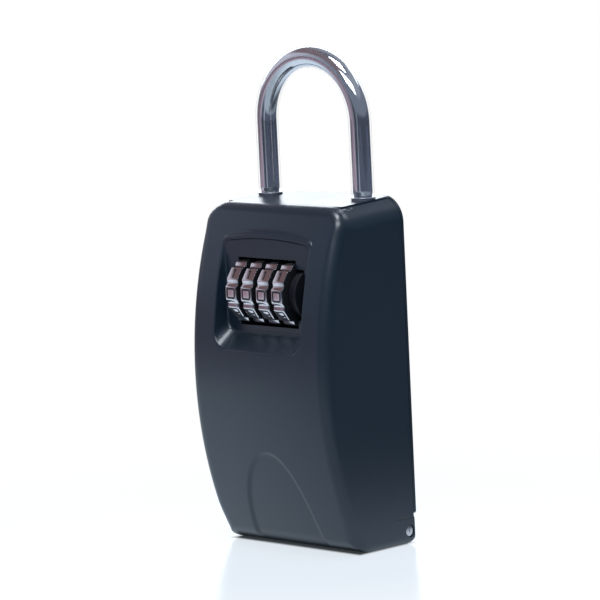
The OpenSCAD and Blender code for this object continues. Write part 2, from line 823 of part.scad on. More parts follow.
module latch_bolt() {
    color([0.75, 0.76, 0.78]) difference() {
        block([-bolt_half, bolt_half], bolt_d, [bolt_z0, bolt_top_z]);
        translate([-bolt_half - 1, yo(bolt_d[1]), bolt_top_z]) rotate([-35, 0, 0])
            translate([0, -6, -1.4]) cube([2 * bolt_half + 2, 6, 6]);
    }
}

module latch_springs() {
    color([0.66, 0.67, 0.7]) for (s = [-1, 1])
        coil_spring(s * latch_spring_x, yo(latch_spring_d), shelf_z[1], bolt_z0, 0.9, 0.3, 4);
}

module code_change_lever() {
    color([0.75, 0.62, 0.3]) difference() {
        union() {
            bar_y(lever_x, lever_z, 3, house_back_d - 1.3, house_back_d - 0.1);
            block([lever_x - 1.8, lever_x + 1.8], [house_back_d - 1.3, house_back_d - 0.1],
                [lever_z, lever_z + 13]);
            block([lever_x - 1.8, lever_x + 1.8], [house_back_d - 3.1, house_back_d - 0.1],
                [lever_z + 11.5, lever_z + 13]);
        }
        bar_y(lever_x, lever_z, lever_pin_r + 0.05, 0, 30);
    }
}

module lever_pivot() {
    color([0.6, 0.6, 0.62]) {
        bar_y(lever_x, lever_z, lever_pin_r, house_back_d - 1.5, house_back_d + 1.5);
        bar_y(lever_x, lever_z, 2.6, house_back_d - 2.3, house_back_d - 1.5 + eps);
    }
}

back_body();
front_cover();
hinge_pin();
shackle();
shackle_sleeve();
shackle_ring();
shackle_seal_left();
shackle_seal_right();
shackle_lock_slider();
slider_retainer();
retainer_screws();
strike_plate();
strike_screws();
key_hook();
hook_screw();
lock_housing();
housing_screws();
dial_axle();
detent_spring();
dial_1();
dial_2();
dial_3();
dial_4();
gate_cam_1();
gate_cam_2();
gate_cam_3();
gate_cam_4();
fence_bar();
fence_springs();
latch_bolt();
latch_springs();
code_change_lever();
lever_pivot();
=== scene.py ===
"""Looks of a portable combination key lock box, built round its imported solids."""

import logging
import math
from dataclasses import dataclass
from enum import Enum
from typing import Callable, Optional, Sequence, Union

import bmesh
import bpy
import numpy as np
from mathutils import Matrix


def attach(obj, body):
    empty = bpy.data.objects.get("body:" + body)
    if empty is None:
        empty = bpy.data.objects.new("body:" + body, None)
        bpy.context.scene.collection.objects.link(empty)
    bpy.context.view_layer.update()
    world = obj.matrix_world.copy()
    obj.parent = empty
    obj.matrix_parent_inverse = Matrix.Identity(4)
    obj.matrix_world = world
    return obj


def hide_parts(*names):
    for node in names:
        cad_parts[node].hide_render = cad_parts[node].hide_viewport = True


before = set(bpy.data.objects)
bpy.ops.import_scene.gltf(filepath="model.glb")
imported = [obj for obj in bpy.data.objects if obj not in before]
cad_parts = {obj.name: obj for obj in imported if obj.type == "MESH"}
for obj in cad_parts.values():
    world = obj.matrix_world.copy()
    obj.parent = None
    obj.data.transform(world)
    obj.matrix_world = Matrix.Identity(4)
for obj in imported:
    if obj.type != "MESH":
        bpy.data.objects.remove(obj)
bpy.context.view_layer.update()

logging.basicConfig(level=logging.INFO, format="%(message)s")
LOG = logging.getLogger("lock_box")

MM = 0.001
MERGE_MM = 0.0005
TAU = 2 * math.pi

Array = np.ndarray
Span = tuple[float, float]
Triple = tuple[float, float, float]
WHITE: Triple = (1.0, 1.0, 1.0)
BLACK: Triple = (0.0, 0.0, 0.0)


# ------------------------------------------------------------------ shader maths


def _operator(operation: str, swap: bool = False) -> Callable[["Wire", "Value"], "Wire"]:
    """A method that adds one Math node.

    Args:
        operation: The node's operation.
        swap: Whether the other value comes first, as in a reflected form.

    Returns:
        The method.
    """
    def apply(self: "Wire", other: "Value") -> "Wire":
        """The operation on this wire and another value."""
        return self.math(operation, other, self) if swap else self.math(operation, self, other)

    return apply


class Wire:
    """One output socket of a node tree, with arithmetic that adds Math nodes."""

    def __init__(self, tree: "Tree", socket: bpy.types.NodeSocket) -> None:
        """Keeps the tree and the socket."""
        self.tree = tree
        self.socket = socket

    def math(self, operation: str, a: "Value", b: "Value" = 0.0, clamp: bool = False) -> "Wire":
        """One Math node's result for a and b, held between 0 and 1 if clamp is set."""
        settings = {"operation": operation, "use_clamp": clamp}
        return self.tree.node("ShaderNodeMath", settings, {0: a, 1: b})

    __add__ = __radd__ = _operator("ADD")
    __sub__, __rsub__ = _operator("SUBTRACT"), _operator("SUBTRACT", swap=True)
    __mul__ = __rmul__ = _operator("MULTIPLY")
    __truediv__ = _operator("DIVIDE")

    def __neg__(self) -> "Wire":
        """Negative."""
        return self.math("MULTIPLY", self, -1.0)

    def abs(self) -> "Wire":
        """Absolute value."""
        return self.math("ABSOLUTE", self)

    def clamp(self) -> "Wire":
        """This value held between 0 and 1."""
        return self.math("ADD", self, 0.0, clamp=True)

    def ramp(self, low: float, high: float) -> "Wire":
        """A smooth step from 0 at low to 1 at high."""
        ends = {"Value": self, "From Min": low, "From Max": high}
        return self.tree.node("ShaderNodeMapRange", {"interpolation_type": "SMOOTHSTEP"}, ends)


Value = Union[Wire, float, Sequence[float]]


class Tree:
    """A node tree that is written as expressions."""

    def __init__(self, tree: bpy.types.NodeTree) -> None:
        """Empties the tree."""
        self.tree = tree
        tree.nodes.clear()

    def node(
        self,
        kind: str,
        settings: Optional[dict] = None,
        inputs: Optional[dict] = None,
        output: Union[int, str] = 0,
    ) -> Wire:
        """Adds a node.

        Args:
            kind: The node's type.
            settings: Attributes, set first; "ramp" holds a colour ramp's stops.
            inputs: Values or wires for its sockets, by name or number.
            output: The output to return.

        Returns:
            That output.
        """
        made = self.tree.nodes.new(kind)
        for key, value in (settings or {}).items():
            if key == "ramp":
                self._set_ramp(made.color_ramp, value)
            else:
                setattr(made, key, value)
        for key, value in (inputs or {}).items():
            if isinstance(value, Wire):
                self.tree.links.new(value.socket, made.inputs[key])
            else:
                made.inputs[key].default_value = value
        return Wire(self, made.outputs[output] if made.outputs else None)

    @staticmethod
    def _set_ramp(ramp: bpy.types.ColorRamp, stops: Sequence[tuple[float, Triple]]) -> None:
        """Writes a colour ramp's stops.

        Args:
            ramp: The ramp.
            stops: Position and colour of each stop.
        """
        while len(ramp.elements) < len(stops):
            ramp.elements.new(1.0)
        for element, (position, colour) in zip(ramp.elements, stops):
            element.position = position
            element.color = (*colour, 1.0)

    def place(self) -> Wire:
        """Object coordinates of the shaded point, in metres."""
        return self.node("ShaderNodeTexCoord", output="Object")

    def vector(self, operation: str, a: Wire, b: Triple = BLACK, output: str = "Value") -> Wire:
        """One Vector Math node's result for a and b."""
        return self.node("ShaderNodeVectorMath", {"operation": operation}, {0: a, 1: b}, output)

    def dot(self, vector: Wire, way: Triple) -> Wire:
        """How far a vector points along a direction: their dot product."""
        return self.vector("DOT_PRODUCT", vector, way)

    def rays(self) -> tuple[Wire, Wire, Wire]:
        """Whether this is a camera, a glossy or a transmission ray."""
        kinds = ("Is Camera Ray", "Is Glossy Ray", "Is Transmission Ray")
        camera, glossy, through = [self.node("ShaderNodeLightPath", output=k) for k in kinds]
        return camera, glossy, through

    def split(self, vector: Wire) -> tuple[Wire, Wire, Wire]:
        """X, Y and Z of a vector."""
        parts = [self.node("ShaderNodeSeparateXYZ", inputs={0: vector}, output=k) for k in range(3)]
        return parts[0], parts[1], parts[2]

    def noise(self, vector: Wire, size_mm: float, detail: float) -> Wire:
        """Noise from 0 to 1 whose blotches are about a size across; detail is its octaves."""
        inputs = {"Vector": vector, "Scale": 1.0 / (size_mm * MM), "Detail": detail}
        return self.node("ShaderNodeTexNoise", inputs=inputs)

    def mix(self, factor: Value, a: Value, b: Value) -> Wire:
        """A colour between two colours: a at factor 0, b at factor 1."""
        inputs = {0: factor, 6: _rgba(a), 7: _rgba(b)}
        return self.node("ShaderNodeMix", {"data_type": "RGBA"}, inputs, 2)

    def bump(self, height: Wire, strength: float, depth_mm: float) -> Wire:
        """A normal bumped by a height of 0 to 1, whose full height is a depth."""
        inputs = {"Height": height, "Strength": strength, "Distance": depth_mm * MM}
        return self.node("ShaderNodeBump", inputs=inputs)

    def principled(self, inputs: dict) -> Wire:
        """A Principled shader."""
        return self.node("ShaderNodeBsdfPrincipled", {}, inputs)

    def end(self, kind: str, shader: Wire) -> None:
        """Joins a shader to the tree's output; kind is Material or World."""
        self.node(f"ShaderNodeOutput{kind}", {}, {"Surface": shader})


def _rgba(colour: Value) -> Value:
    """A colour with alpha, where it is a plain one."""
    return colour if isinstance(colour, Wire) else (*colour, 1.0)


# ------------------------------------------------------------------ finishes

FINISHED: dict[str, bpy.types.Material] = {}


@dataclass(frozen=True)
class Finish:
    """A surface finish: a Principled shader with a fine grain and soft colour change.

    Attributes:
        name: Material's name.
        colour: Base colour.
        second: Colour that the base drifts to.
        metallic: Share of metal.
        roughness: Roughness.
        spread: How far roughness wanders.
        grain_mm: Size of the grain.
        grain_depth_mm: Depth of the grain.
        drift_mm: Size of the colour drift's blotches.
        coat: Weight of a clear coat.
        alpha: Opacity.
        specular: Specular level.
        coat_rough: Roughness of the coat.
        relief_share: Share of the grain's depth that is used.
    """

    name: str
    colour: Triple
    second: Triple
    metallic: float = 0.0
    roughness: float = 0.4
    spread: float = 0.06
    grain_mm: float = 0.35
    grain_depth_mm: float = 0.01
    drift_mm: float = 14.0
    coat: float = 0.0
    alpha: float = 1.0
    specular: float = 0.5
    coat_rough: float = 0.1
    relief_share: float = 0.6

    def build(self) -> bpy.types.Material:
        """Makes the material once.

        Returns:
            The material.
        """
        if self.name in FINISHED:
            return FINISHED[self.name]
        made = FINISHED[self.name] = bpy.data.materials.new(self.name)
        made.use_nodes = True
        tree = Tree(made.node_tree)
        place = tree.place()
        drift = tree.noise(place, self.drift_mm, detail=3.0)
        grain = tree.noise(place, self.grain_mm, detail=2.0)
        inputs = {
            "Base Color": self.shade(tree, place, tree.mix(drift, self.colour, self.second)),
            "Metallic": self.metallic,
            "Roughness": (self.roughness - self.spread / 2 + drift * self.spread).clamp(),
            "Normal": self.relief(tree, place, grain),
            "Coat Weight": self.coat,
            "Coat Roughness": self.coat_rough,
            "Specular IOR Level": self.specular,
            "Alpha": self.cover(tree),
        }
        tree.end("Material", tree.principled(inputs))
        return made

    def cover(self, tree: Tree) -> Value:
        """The opacity; clear finishes change it towards the edges."""
        return self.alpha

    def shade(self, tree: Tree, place: Wire, base: Wire) -> Wire:
        """The base colour; finishes with marks of their own change it."""
        return base

    def relief(self, tree: Tree, place: Wire, grain: Wire) -> Wire:
        """The bumped normal; finishes with marks of their own change it."""
        return tree.bump(grain, self.relief_share, self.grain_depth_mm)


@dataclass(frozen=True)
class Clear(Finish):
    """A clear plastic that shows where it is seen edge on.

    Attributes:
        edge: Opacity seen edge on.
        edge_start: Slant, from 0 to 1, where the opacity starts to rise.
    """

    edge: float = 0.3
    edge_start: float = 0.55

    def cover(self, tree: Tree) -> Value:
        """Opacity that rises from the middle to the edge."""
        facing = tree.node("ShaderNodeLayerWeight", {}, {"Blend": 0.5}, "Facing")
        return facing.ramp(self.edge_start, 1.0) * (self.edge - self.alpha) + self.alpha


@dataclass(frozen=True)
class Crowned(Finish):
    """A sheet finish whose broad front bulges a little across its width.

    Attributes:
        half_mm: Half the width of the sheet.
        crown_mm: How far its middle stands out.
        seam_mm: Z of the seam, and Y of its ends.
        seam_half_mm: Half width of the seam's black middle, and of its soft edge.
        seam_x_mm: X from which the side walls carry the seam, and where it is full.
        seam_black: Colour in the seam.
        seam_sink: Depth of the seam as a share of the crown.
    """

    half_mm: float = 36.0
    crown_mm: float = 1.6
    seam_mm: Triple = (10.2, 11.6, 21.4)
    seam_half_mm: Span = (0.12, 0.32)
    seam_x_mm: Span = (34.0, 34.5)
    seam_black: Triple = (0.0008, 0.001, 0.0012)
    seam_sink: float = 0.12

    def seam(self, tree: Tree, place: Wire) -> Wire:
        """1 on the short seam at the foot of both side walls, 0 elsewhere.

        The mask is a line in Z, times a span in Y, times a step where X reaches the walls.

        Args:
            tree: The tree.
            place: Object coordinates.

        Returns:
            The mask.
        """
        x, y, z = tree.split(place)
        z_at, y0, y1 = (v * MM for v in self.seam_mm)
        dark, soft = (v * MM for v in self.seam_half_mm)
        x0, x1 = (v * MM for v in self.seam_x_mm)
        fade = 0.3 * MM
        line = 1.0 - (z - z_at).abs().ramp(dark, soft)
        span = y.ramp(y0, y0 + fade) * (1.0 - y.ramp(y1, y1 + fade))
        return line * span * x.abs().ramp(x0, x1)

    def shade(self, tree: Tree, place: Wire, base: Wire) -> Wire:
        """The base colour, black in the seam."""
        return tree.mix(self.seam(tree, place), base, self.seam_black)

    def relief(self, tree: Tree, place: Wire, grain: Wire) -> Wire:
        """The grain on a parabola over X, 1 - (X / half)^2 high, with the seam sunk in it.

        Args:
            tree: The tree.
            place: Object coordinates.
            grain: The fine grain.

        Returns:
            The normal.
        """
        across = tree.split(place)[0] / (self.half_mm * MM)
        share = self.relief_share * self.grain_depth_mm / self.crown_mm
        height = (1.0 - across * across) + grain * share
        return tree.bump(height - self.seam(tree, place) * self.seam_sink, 1.0, self.crown_mm)


@dataclass(frozen=True)
class Turned(Finish):
    """A turned or drawn metal with fine rings along an axis.

    Attributes:
        axis: 0, 1 or 2, the axis that the rings stand across.
        pitch_mm: Distance between rings.
        drawn: How far the noise is stretched round the other axes, as a share of the pitch.
        ring_share: Share of the relief that is rings; the rest is grain.
    """

    axis: int = 2
    pitch_mm: float = 0.25
    drawn: float = 0.02
    ring_share: float = 0.8

    def relief(self, tree: Tree, place: Wire, grain: Wire) -> Wire:
        """Rings, stretched from noise along the axis.

        Args:
            tree: The tree.
            place: Object coordinates.
            grain: The fine grain.

        Returns:
            The normal.
        """
        x, y, z = (1.0 if k == self.axis else self.drawn for k in range(3))
        rings = tree.noise(tree.vector("MULTIPLY", place, (x, y, z), "Vector"), self.pitch_mm, 1.0)
        height = rings * self.ring_share + grain * (1.0 - self.ring_share)
        return tree.bump(height, strength=0.5, depth_mm=self.grain_depth_mm)


class Coat(Enum):
    """The finishes used on the box."""

    COVER = Crowned(
        "satin_black_cover", (0.0075, 0.018, 0.030), (0.009, 0.0205, 0.0335), roughness=0.31,
        spread=0.04, grain_mm=0.28, grain_depth_mm=0.005, specular=0.8,
    )
    BODY = Finish(
        "satin_black_body", (0.0075, 0.0175, 0.029), (0.0085, 0.0195, 0.032), roughness=0.33,
        spread=0.04, grain_mm=0.28, grain_depth_mm=0.005, specular=0.8,
    )
    CHROME = Turned(
        "bar_chrome_plate", (0.82, 0.83, 0.86), (0.78, 0.79, 0.82), metallic=1.0, roughness=0.05,
        spread=0.03, grain_mm=0.6, grain_depth_mm=0.001, axis=2,
    )
    DIAL = Turned(
        "dial_plate", (0.80, 0.77, 0.79), (0.74, 0.70, 0.72), metallic=1.0, roughness=0.11,
        spread=0.05, grain_mm=0.4, grain_depth_mm=0.002, axis=0,
    )
    INK = Finish("number_ink", (0.012, 0.011, 0.012), (0.018, 0.016, 0.017), roughness=0.5)
    SLEEVE = Clear(
        "sleeve_vinyl", (0.62, 0.66, 0.74), (0.52, 0.56, 0.64), roughness=0.16, spread=0.1,
        grain_mm=1.2, grain_depth_mm=0.02, alpha=0.03, specular=0.7, coat=0.2,
    )
    COLLAR = Finish(
        "collar_vinyl", (0.20, 0.22, 0.26), (0.15, 0.17, 0.21), roughness=0.2, spread=0.1,
        grain_depth_mm=0.006, specular=0.8,
    )
    PLASTIC = Finish(
        "lock_moulding", (0.004, 0.006, 0.009), (0.006, 0.008, 0.012), roughness=0.5,
        grain_depth_mm=0.008, specular=0.35,
    )
    FLANK = Finish(
        "dial_side_black", (0.006, 0.007, 0.009), (0.010, 0.011, 0.013), roughness=0.42,
        grain_depth_mm=0.006, specular=0.4,
    )
    PIN = Turned(
        "turned_steel", (0.66, 0.66, 0.67), (0.58, 0.58, 0.60), metallic=1.0, roughness=0.28,
        spread=0.12, grain_depth_mm=0.006, axis=0,
    )
    ZINC = Finish(
        "zinc_passivate", (0.62, 0.58, 0.46), (0.48, 0.47, 0.45), metallic=1.0, roughness=0.36,
        spread=0.16, drift_mm=5.0, grain_depth_mm=0.008,
    )
    SPRING = Turned(
        "spring_wire", (0.50, 0.50, 0.52), (0.42, 0.42, 0.44), metallic=1.0, roughness=0.3,
        spread=0.1, grain_depth_mm=0.004,
    )

    def material(self) -> bpy.types.Material:
        """This finish's material."""
        return self.value.build()


# ------------------------------------------------------------------ surfaces


def put(name: str, data: bpy.types.ID) -> bpy.types.Object:
    """An object with this name and data, in the scene."""
    made = bpy.data.objects.new(name, data)
    bpy.context.scene.collection.objects.link(made)
    return made


def stand(thing: bpy.types.Object, axes: Sequence[Array], place: Array) -> None:
    """Turns a camera or lamp to three axes and puts it in its place, in metres."""
    turn = Matrix(np.stack(axes, 1).tolist()).to_4x4()
    thing.matrix_world = Matrix.Translation(place.tolist()) @ turn


def shade(mesh: bpy.types.Mesh, sharp_deg: float) -> None:
    """Shades a mesh smooth, except where its faces bend more than an angle."""
    mesh.shade_smooth()
    mesh.set_sharp_from_angle(angle=math.radians(sharp_deg))


def make_piece(
    name: str,
    points: Array,
    faces: Sequence[Sequence[int]],
    coat: Coat,
    sharp_deg: float,
    merge_mm: float = 0.0,
) -> bpy.types.Object:
    """Turns points and faces into a shaded object at the origin.

    Args:
        name: Object's name.
        points: Points in millimetres, N by 3.
        faces: Corner numbers of each face.
        coat: Finish.
        sharp_deg: Edges that bend more than this are shaded sharp.
        merge_mm: Points nearer than this are merged first.

    Returns:
        The object.
    """
    mesh = bpy.data.meshes.new(name)
    mesh.from_pydata((np.asarray(points, float) * MM).tolist(), [], [list(f) for f in faces])
    mesh.validate()
    tidy_mesh(mesh, merge_mm)
    shade(mesh, sharp_deg)
    mesh.materials.append(coat.material())
    LOG.info("piece %s: %d faces, %s", name, len(mesh.polygons), coat.value.name)
    return put(name, mesh)


def tidy_mesh(mesh: bpy.types.Mesh, merge_mm: float = 0.0) -> None:
    """Merges doubles and turns all faces outwards.

    Args:
        mesh: The mesh.
        merge_mm: Merging distance; 0 leaves the points alone.
    """
    work = bmesh.new()
    work.from_mesh(mesh)
    if merge_mm:
        bmesh.ops.remove_doubles(work, verts=work.verts, dist=merge_mm * MM)
    bmesh.ops.recalc_face_normals(work, faces=work.faces)
    work.to_mesh(mesh)
    work.free()


def whole_turn(count: int) -> Array:
    """Even steps of a whole turn, in radians."""
    return np.arange(count) * TAU / count


def on_circle(angle: Array) -> Array:
    """The points (cos a, sin a) at angles a in radians."""
    return np.stack([np.cos(angle), np.sin(angle)], -1)


def cut_bore(piece: bpy.types.Object, radius: float, span: Sequence[float], middle: Sequence[float],
             around: int = 48) -> None:
    """Cuts a round bore along X out of a piece.

    Args:
        piece: The piece.
        radius: Radius of the bore in millimetres.
        span: X of both ends.
        middle: Y and Z of its middle line.
        around: Points round the bore.
    """
    ring = (np.array(middle) + radius * on_circle(whole_turn(around))) * MM
    points = np.vstack([np.column_stack([np.full(around, x * MM), ring]) for x in span])
    first = list(range(around))
    ends = [first, [around + k for k in reversed(first)]]
    mesh = bpy.data.meshes.new("cutter")
    mesh.from_pydata(points.tolist(), [], grid_quads(2, around).tolist() + ends)
    tidy_mesh(mesh)
    cutter = put("cutter", mesh)
    cut = piece.modifiers.new("bore", "BOOLEAN")
    cut.operation, cut.solver, cut.object = "DIFFERENCE", "EXACT", cutter
    bpy.context.view_layer.update()
    before = piece.data
    ready = piece.evaluated_get(bpy.context.evaluated_depsgraph_get())
    made = bpy.data.meshes.new_from_object(ready)
    piece.modifiers.clear()
    piece.data = made
    bpy.data.objects.remove(cutter)
    for spare in (before, mesh):
        bpy.data.meshes.remove(spare)
    shade(made, 40.0)


def grid_quads(rows: int, columns: int) -> Array:
    """Quads of a grid whose points run row by row and whose last column joins the first.

    Args:
        rows: Number of rows.
        columns: Number of columns.

    Returns:
        Corner numbers, N by 4.
    """
    j, i = np.meshgrid(np.arange(rows - 1), np.arange(columns), indexing="ij")
    k = (i + 1) % columns
    corners = [j * columns + i, j * columns + k, (j + 1) * columns + k, (j + 1) * columns + i]
    return np.stack(corners, -1).reshape(-1, 4)


def closed_lathe(profile: Array, columns: int) -> tuple[Array, Array]:
    """A closed profile of (radius, height) turned round the Z axis.

    Each point (r, h) sweeps the circle (r cos a, r sin a, h).

    Args:
        profile: Radius and height of each profile point, N by 2.
        columns: Points round the circle.

    Returns:
        Points and quads.
    """
    profile = np.vstack([profile, profile[:1]])
    xy = profile[:, None, :1] * on_circle(whole_turn(columns))[None]
    z = np.broadcast_to(profile[:, None, 1:], (len(profile), columns, 1))
    points = np.concatenate([xy, z], -1).reshape(-1, 3)
    return points, grid_quads(len(profile), columns)


def bend(a: Array, b: Array, c: Array, t: Union[float, Array]) -> Array:
    """The quadratic curve from a to c that b pulls: (1 - t)^2 a + 2 t (1 - t) b + t^2 c."""
    return (1 - t) ** 2 * a + 2 * t * (1 - t) * b + t**2 * c


def round_corners(outline: Array, radii: Sequence[float], steps: int = 5) -> Array:
    """A closed outline with its corners replaced by quadratic curves.

    At each corner the curve runs from a point one radius before it to one radius after it, with
    the corner as its control point.

    Args:
        outline: Corners in order, N by 2.
        radii: How far each curve reaches from its corner; 0 leaves it sharp.
        steps: Points on each curve.

    Returns:
        The rounded outline.
    """
    before, after = (np.roll(outline, step, 0) - outline for step in (1, -1))
    before /= np.linalg.norm(before, axis=1, keepdims=True)
    after /= np.linalg.norm(after, axis=1, keepdims=True)
    t = np.linspace(0, 1, steps)[:, None]
    return np.vstack([
        bend(corner + back * radius, corner, corner + ahead * radius, t) if radius else corner[None]
        for corner, back, ahead, radius in zip(outline, before, after, radii)
    ])


@dataclass(frozen=True)
class LoopCounts:
    """How many points each stretch of a four-sided loop gets.

    Attributes:
        foot: Along the bottom side.
        side: Along each upright side.
        top: Along the top side.
        corner: On each corner arc.
    """

    foot: int = 120
    side: int = 92
    top: int = 60
    corner: int = 14


@dataclass(frozen=True)
class Rounded:
    """A rectangle in X and Z with rounded corners.

    Attributes:
        x0: Left edge.
        x1: Right edge.
        z0: Bottom edge.
        z1: Top edge.
        r_foot: Radius of the bottom corners.
        r_top: Radius of the top corners.
        cut_deg: Angle on the top corners, from straight up, where a point is wanted.
    """

    x0: float
    x1: float
    z0: float
    z1: float
    r_foot: float
    r_top: float
    cut_deg: float = 12.0

    def loop(self, counts: LoopCounts) -> tuple[Array, Array]:
        """Points round the outline, anticlockwise from the bottom left, seen from the front.

        Straight sides are even steps; corners are circle arcs. The second result says how much
        of a lift of the top edge each point follows.

        Args:
            counts: Points on each stretch.

        Returns:
            X and Z of each point, and its share of the top's lift.
        """
        f, t, cut, half = self.r_foot, self.r_top, self.cut_deg, counts.corner // 2
        low, high = self.z0 + f, self.z1 - t
        rest = counts.corner - half

        def steps(start: float, end: float, count: int) -> Array:
            """Even steps from start to just before end."""
            return np.linspace(start, end, count, endpoint=False)

        def line(a: Sequence[float], b: Sequence[float], count: int) -> Array:
            """Even steps on a straight side."""
            return np.asarray(a) + steps(0, 1, count)[:, None] * (np.asarray(b) - np.asarray(a))

        foot_arc = steps(0, 90, counts.corner)
        top_right = np.concatenate([steps(0, 90 - cut, rest), steps(90 - cut, 90, half)])
        top_left = np.concatenate([steps(90, 90 + cut, half), steps(90 + cut, 180, rest)])
        points = np.vstack([
            line((self.x0 + f, self.z0), (self.x1 - f, self.z0), counts.foot),
            self._arc(self.x1 - f, low, f, foot_arc - 90),
            line((self.x1, low), (self.x1, high), counts.side),
            self._arc(self.x1 - t, high, t, top_right),
            line((self.x1 - t, self.z1), (self.x0 + t, self.z1), counts.top),
            self._arc(self.x0 + t, high, t, top_left),
            line((self.x0, high), (self.x0, low), counts.side),
            self._arc(self.x0 + f, low, f, foot_arc + 180),
        ])
        rise = steps(0, 1, counts.side)
        lift = np.concatenate([
            np.zeros(counts.foot + counts.corner), rise, np.ones(2 * counts.corner + counts.top),
            1 - rise, np.zeros(counts.corner),
        ])
        return points, lift

    @staticmethod
    def _arc(x: float, z: float, r: float, degrees: Array) -> Array:
        """Points on a circle arc at angles measured from +X towards +Z."""
        return np.array([x, z]) + r * on_circle(np.radians(degrees))


def smoothstep(value: Array, low: float, high: float) -> Array:
    """0 below low, 1 above high, and the cubic t^2 (3 - 2 t) between."""
    t = np.clip((value - low) / (high - low), 0, 1)
    return t * t * (3 - 2 * t)


def shell_faces(keep: Array, columns: int, inner_rows: Sequence[int], rows: int) -> list:
    """Faces of a closed wall between an outer grid and an inner grid of fewer rows.

    Both grids wrap round in columns. Outer points come first, row by row, then the inner rows
    that are listed. Where kept cells end, a strip joins the outer edge to the inner edge; rows
    that border a gap must be in both grids.

    Args:
        keep: Which cells of the outer grid stand, rows - 1 by columns.
        columns: Points in a row.
        inner_rows: Outer row numbers that the inner grid has too.
        rows: Rows of the outer grid.

    Returns:
        Corner numbers of each face.
    """
    quads = grid_quads(rows, columns)[keep.ravel()]
    base = rows * columns
    inner_at = {row: base + n * columns for n, row in enumerate(inner_rows)}
    faces = [quads]
    index = np.arange(columns)
    after = (index + 1) % columns
    for n, (low, high) in enumerate(zip(inner_rows[:-1], inner_rows[1:])):
        kept = keep[low]
        a, b = base + n * columns, base + (n + 1) * columns
        faces.append(np.stack([a + index, b + index, b + after, a + after], -1)[kept])
    above = np.vstack([np.zeros((1, columns), bool), keep])
    below = np.vstack([keep, np.zeros((1, columns), bool)])
    for row in np.nonzero((above != below).any(1))[0]:
        edge = above[row] != below[row]
        out, inn = row * columns, inner_at[int(row)]
        faces.append(np.stack([out + index, out + after, inn + after, inn + index], -1)[edge])
    sides = keep != np.roll(keep, 1, 1)
    for row in np.nonzero(sides.any(1))[0]:
        at = index[sides[row]]
        o0, o1 = row * columns, (row + 1) * columns
        i0, i1 = inner_at[int(row)], inner_at[int(row) + 1]
        faces.append(np.stack([o0 + at, o1 + at, i1 + at, i0 + at], -1))
    return [f.tolist() for f in np.vstack(faces)]


# ------------------------------------------------------------------ camera and studio

TO_VIEWER: Triple = (0.707, -0.707, 0.0)
TO_LEFT: Triple = (-0.707, -0.707, 0.0)
TO_RIGHT: Triple = (0.707, 0.707, 0.0)


@dataclass(frozen=True)
class Viewpoint:
    """A camera that looks at the box from its front right.

    Attributes:
        azimuth: Degrees round from the front.
        elevation: Degrees above the horizon.
        roll: Degrees that the camera leans.
        distance: Distance to the aim point, in millimetres.
        aim: Aim point in the shared frame, in millimetres.
        shift_right: Sideways move of the camera, in millimetres.
        shift_up: Upward move of the camera, in millimetres.
        lens: Focal length, in millimetres.
        sensor: Width of the sensor, in millimetres.
    """

    azimuth: float = 45.02
    elevation: float = 7.50
    roll: float = -2.69
    distance: float = 1573.0
    aim: Triple = (0.0, 2.75, 90.0)
    shift_right: float = -0.74
    shift_up: float = 3.16
    lens: float = 249.1
    sensor: float = 36.0

    def build(self) -> bpy.types.Object:
        """Makes the camera and gives it to the scene.

        Returns:
            The camera.
        """
        az, el, roll = (math.radians(v) for v in (self.azimuth, self.elevation, self.roll))
        back = np.array([math.sin(az) * math.cos(el), -math.cos(az) * math.cos(el), math.sin(el)])
        right = np.array([math.cos(az), math.sin(az), 0.0])
        up = np.cross(back, right)
        r = right * math.cos(roll) + up * math.sin(roll)
        u = -right * math.sin(roll) + up * math.cos(roll)
        place = np.array(self.aim) + self.distance * back + self.shift_right * r + self.shift_up * u
        data = bpy.data.cameras.new("camera")
        data.lens, data.sensor_width = self.lens, self.sensor
        data.clip_start, data.clip_end = 0.05, 50.0
        camera = put("camera", data)
        stand(camera, (r, u, back), place * MM)
        bpy.context.scene.camera = camera
        return camera


@dataclass(frozen=True)
class SoftBox:
    """A rectangular lamp.

    Attributes:
        name: Its name.
        place: Where it stands, in metres.
        aim: What it points at, in metres.
        size: Width and height in metres.
        power: Power in watts.
        colour: Its colour.
    """

    name: str
    place: Triple
    aim: Triple
    size: Span
    power: float
    colour: Triple = (0.88, 0.94, 1.0)

    def build(self) -> bpy.types.Object:
        """Makes the lamp.

        Returns:
            The lamp.
        """
        data = bpy.data.lights.new(self.name, "AREA")
        data.shape = "RECTANGLE"
        data.size, data.size_y = self.size
        data.energy = self.power
        data.color = self.colour
        lamp = put(self.name, data)
        place, aim = (np.array(v) for v in (self.place, self.aim))
        back = (place - aim) / np.linalg.norm(place - aim)
        side = np.cross([0.0, 0.0, 1.0], back)
        side /= np.linalg.norm(side)
        stand(lamp, (side, np.cross(back, side), back), place)
        return lamp


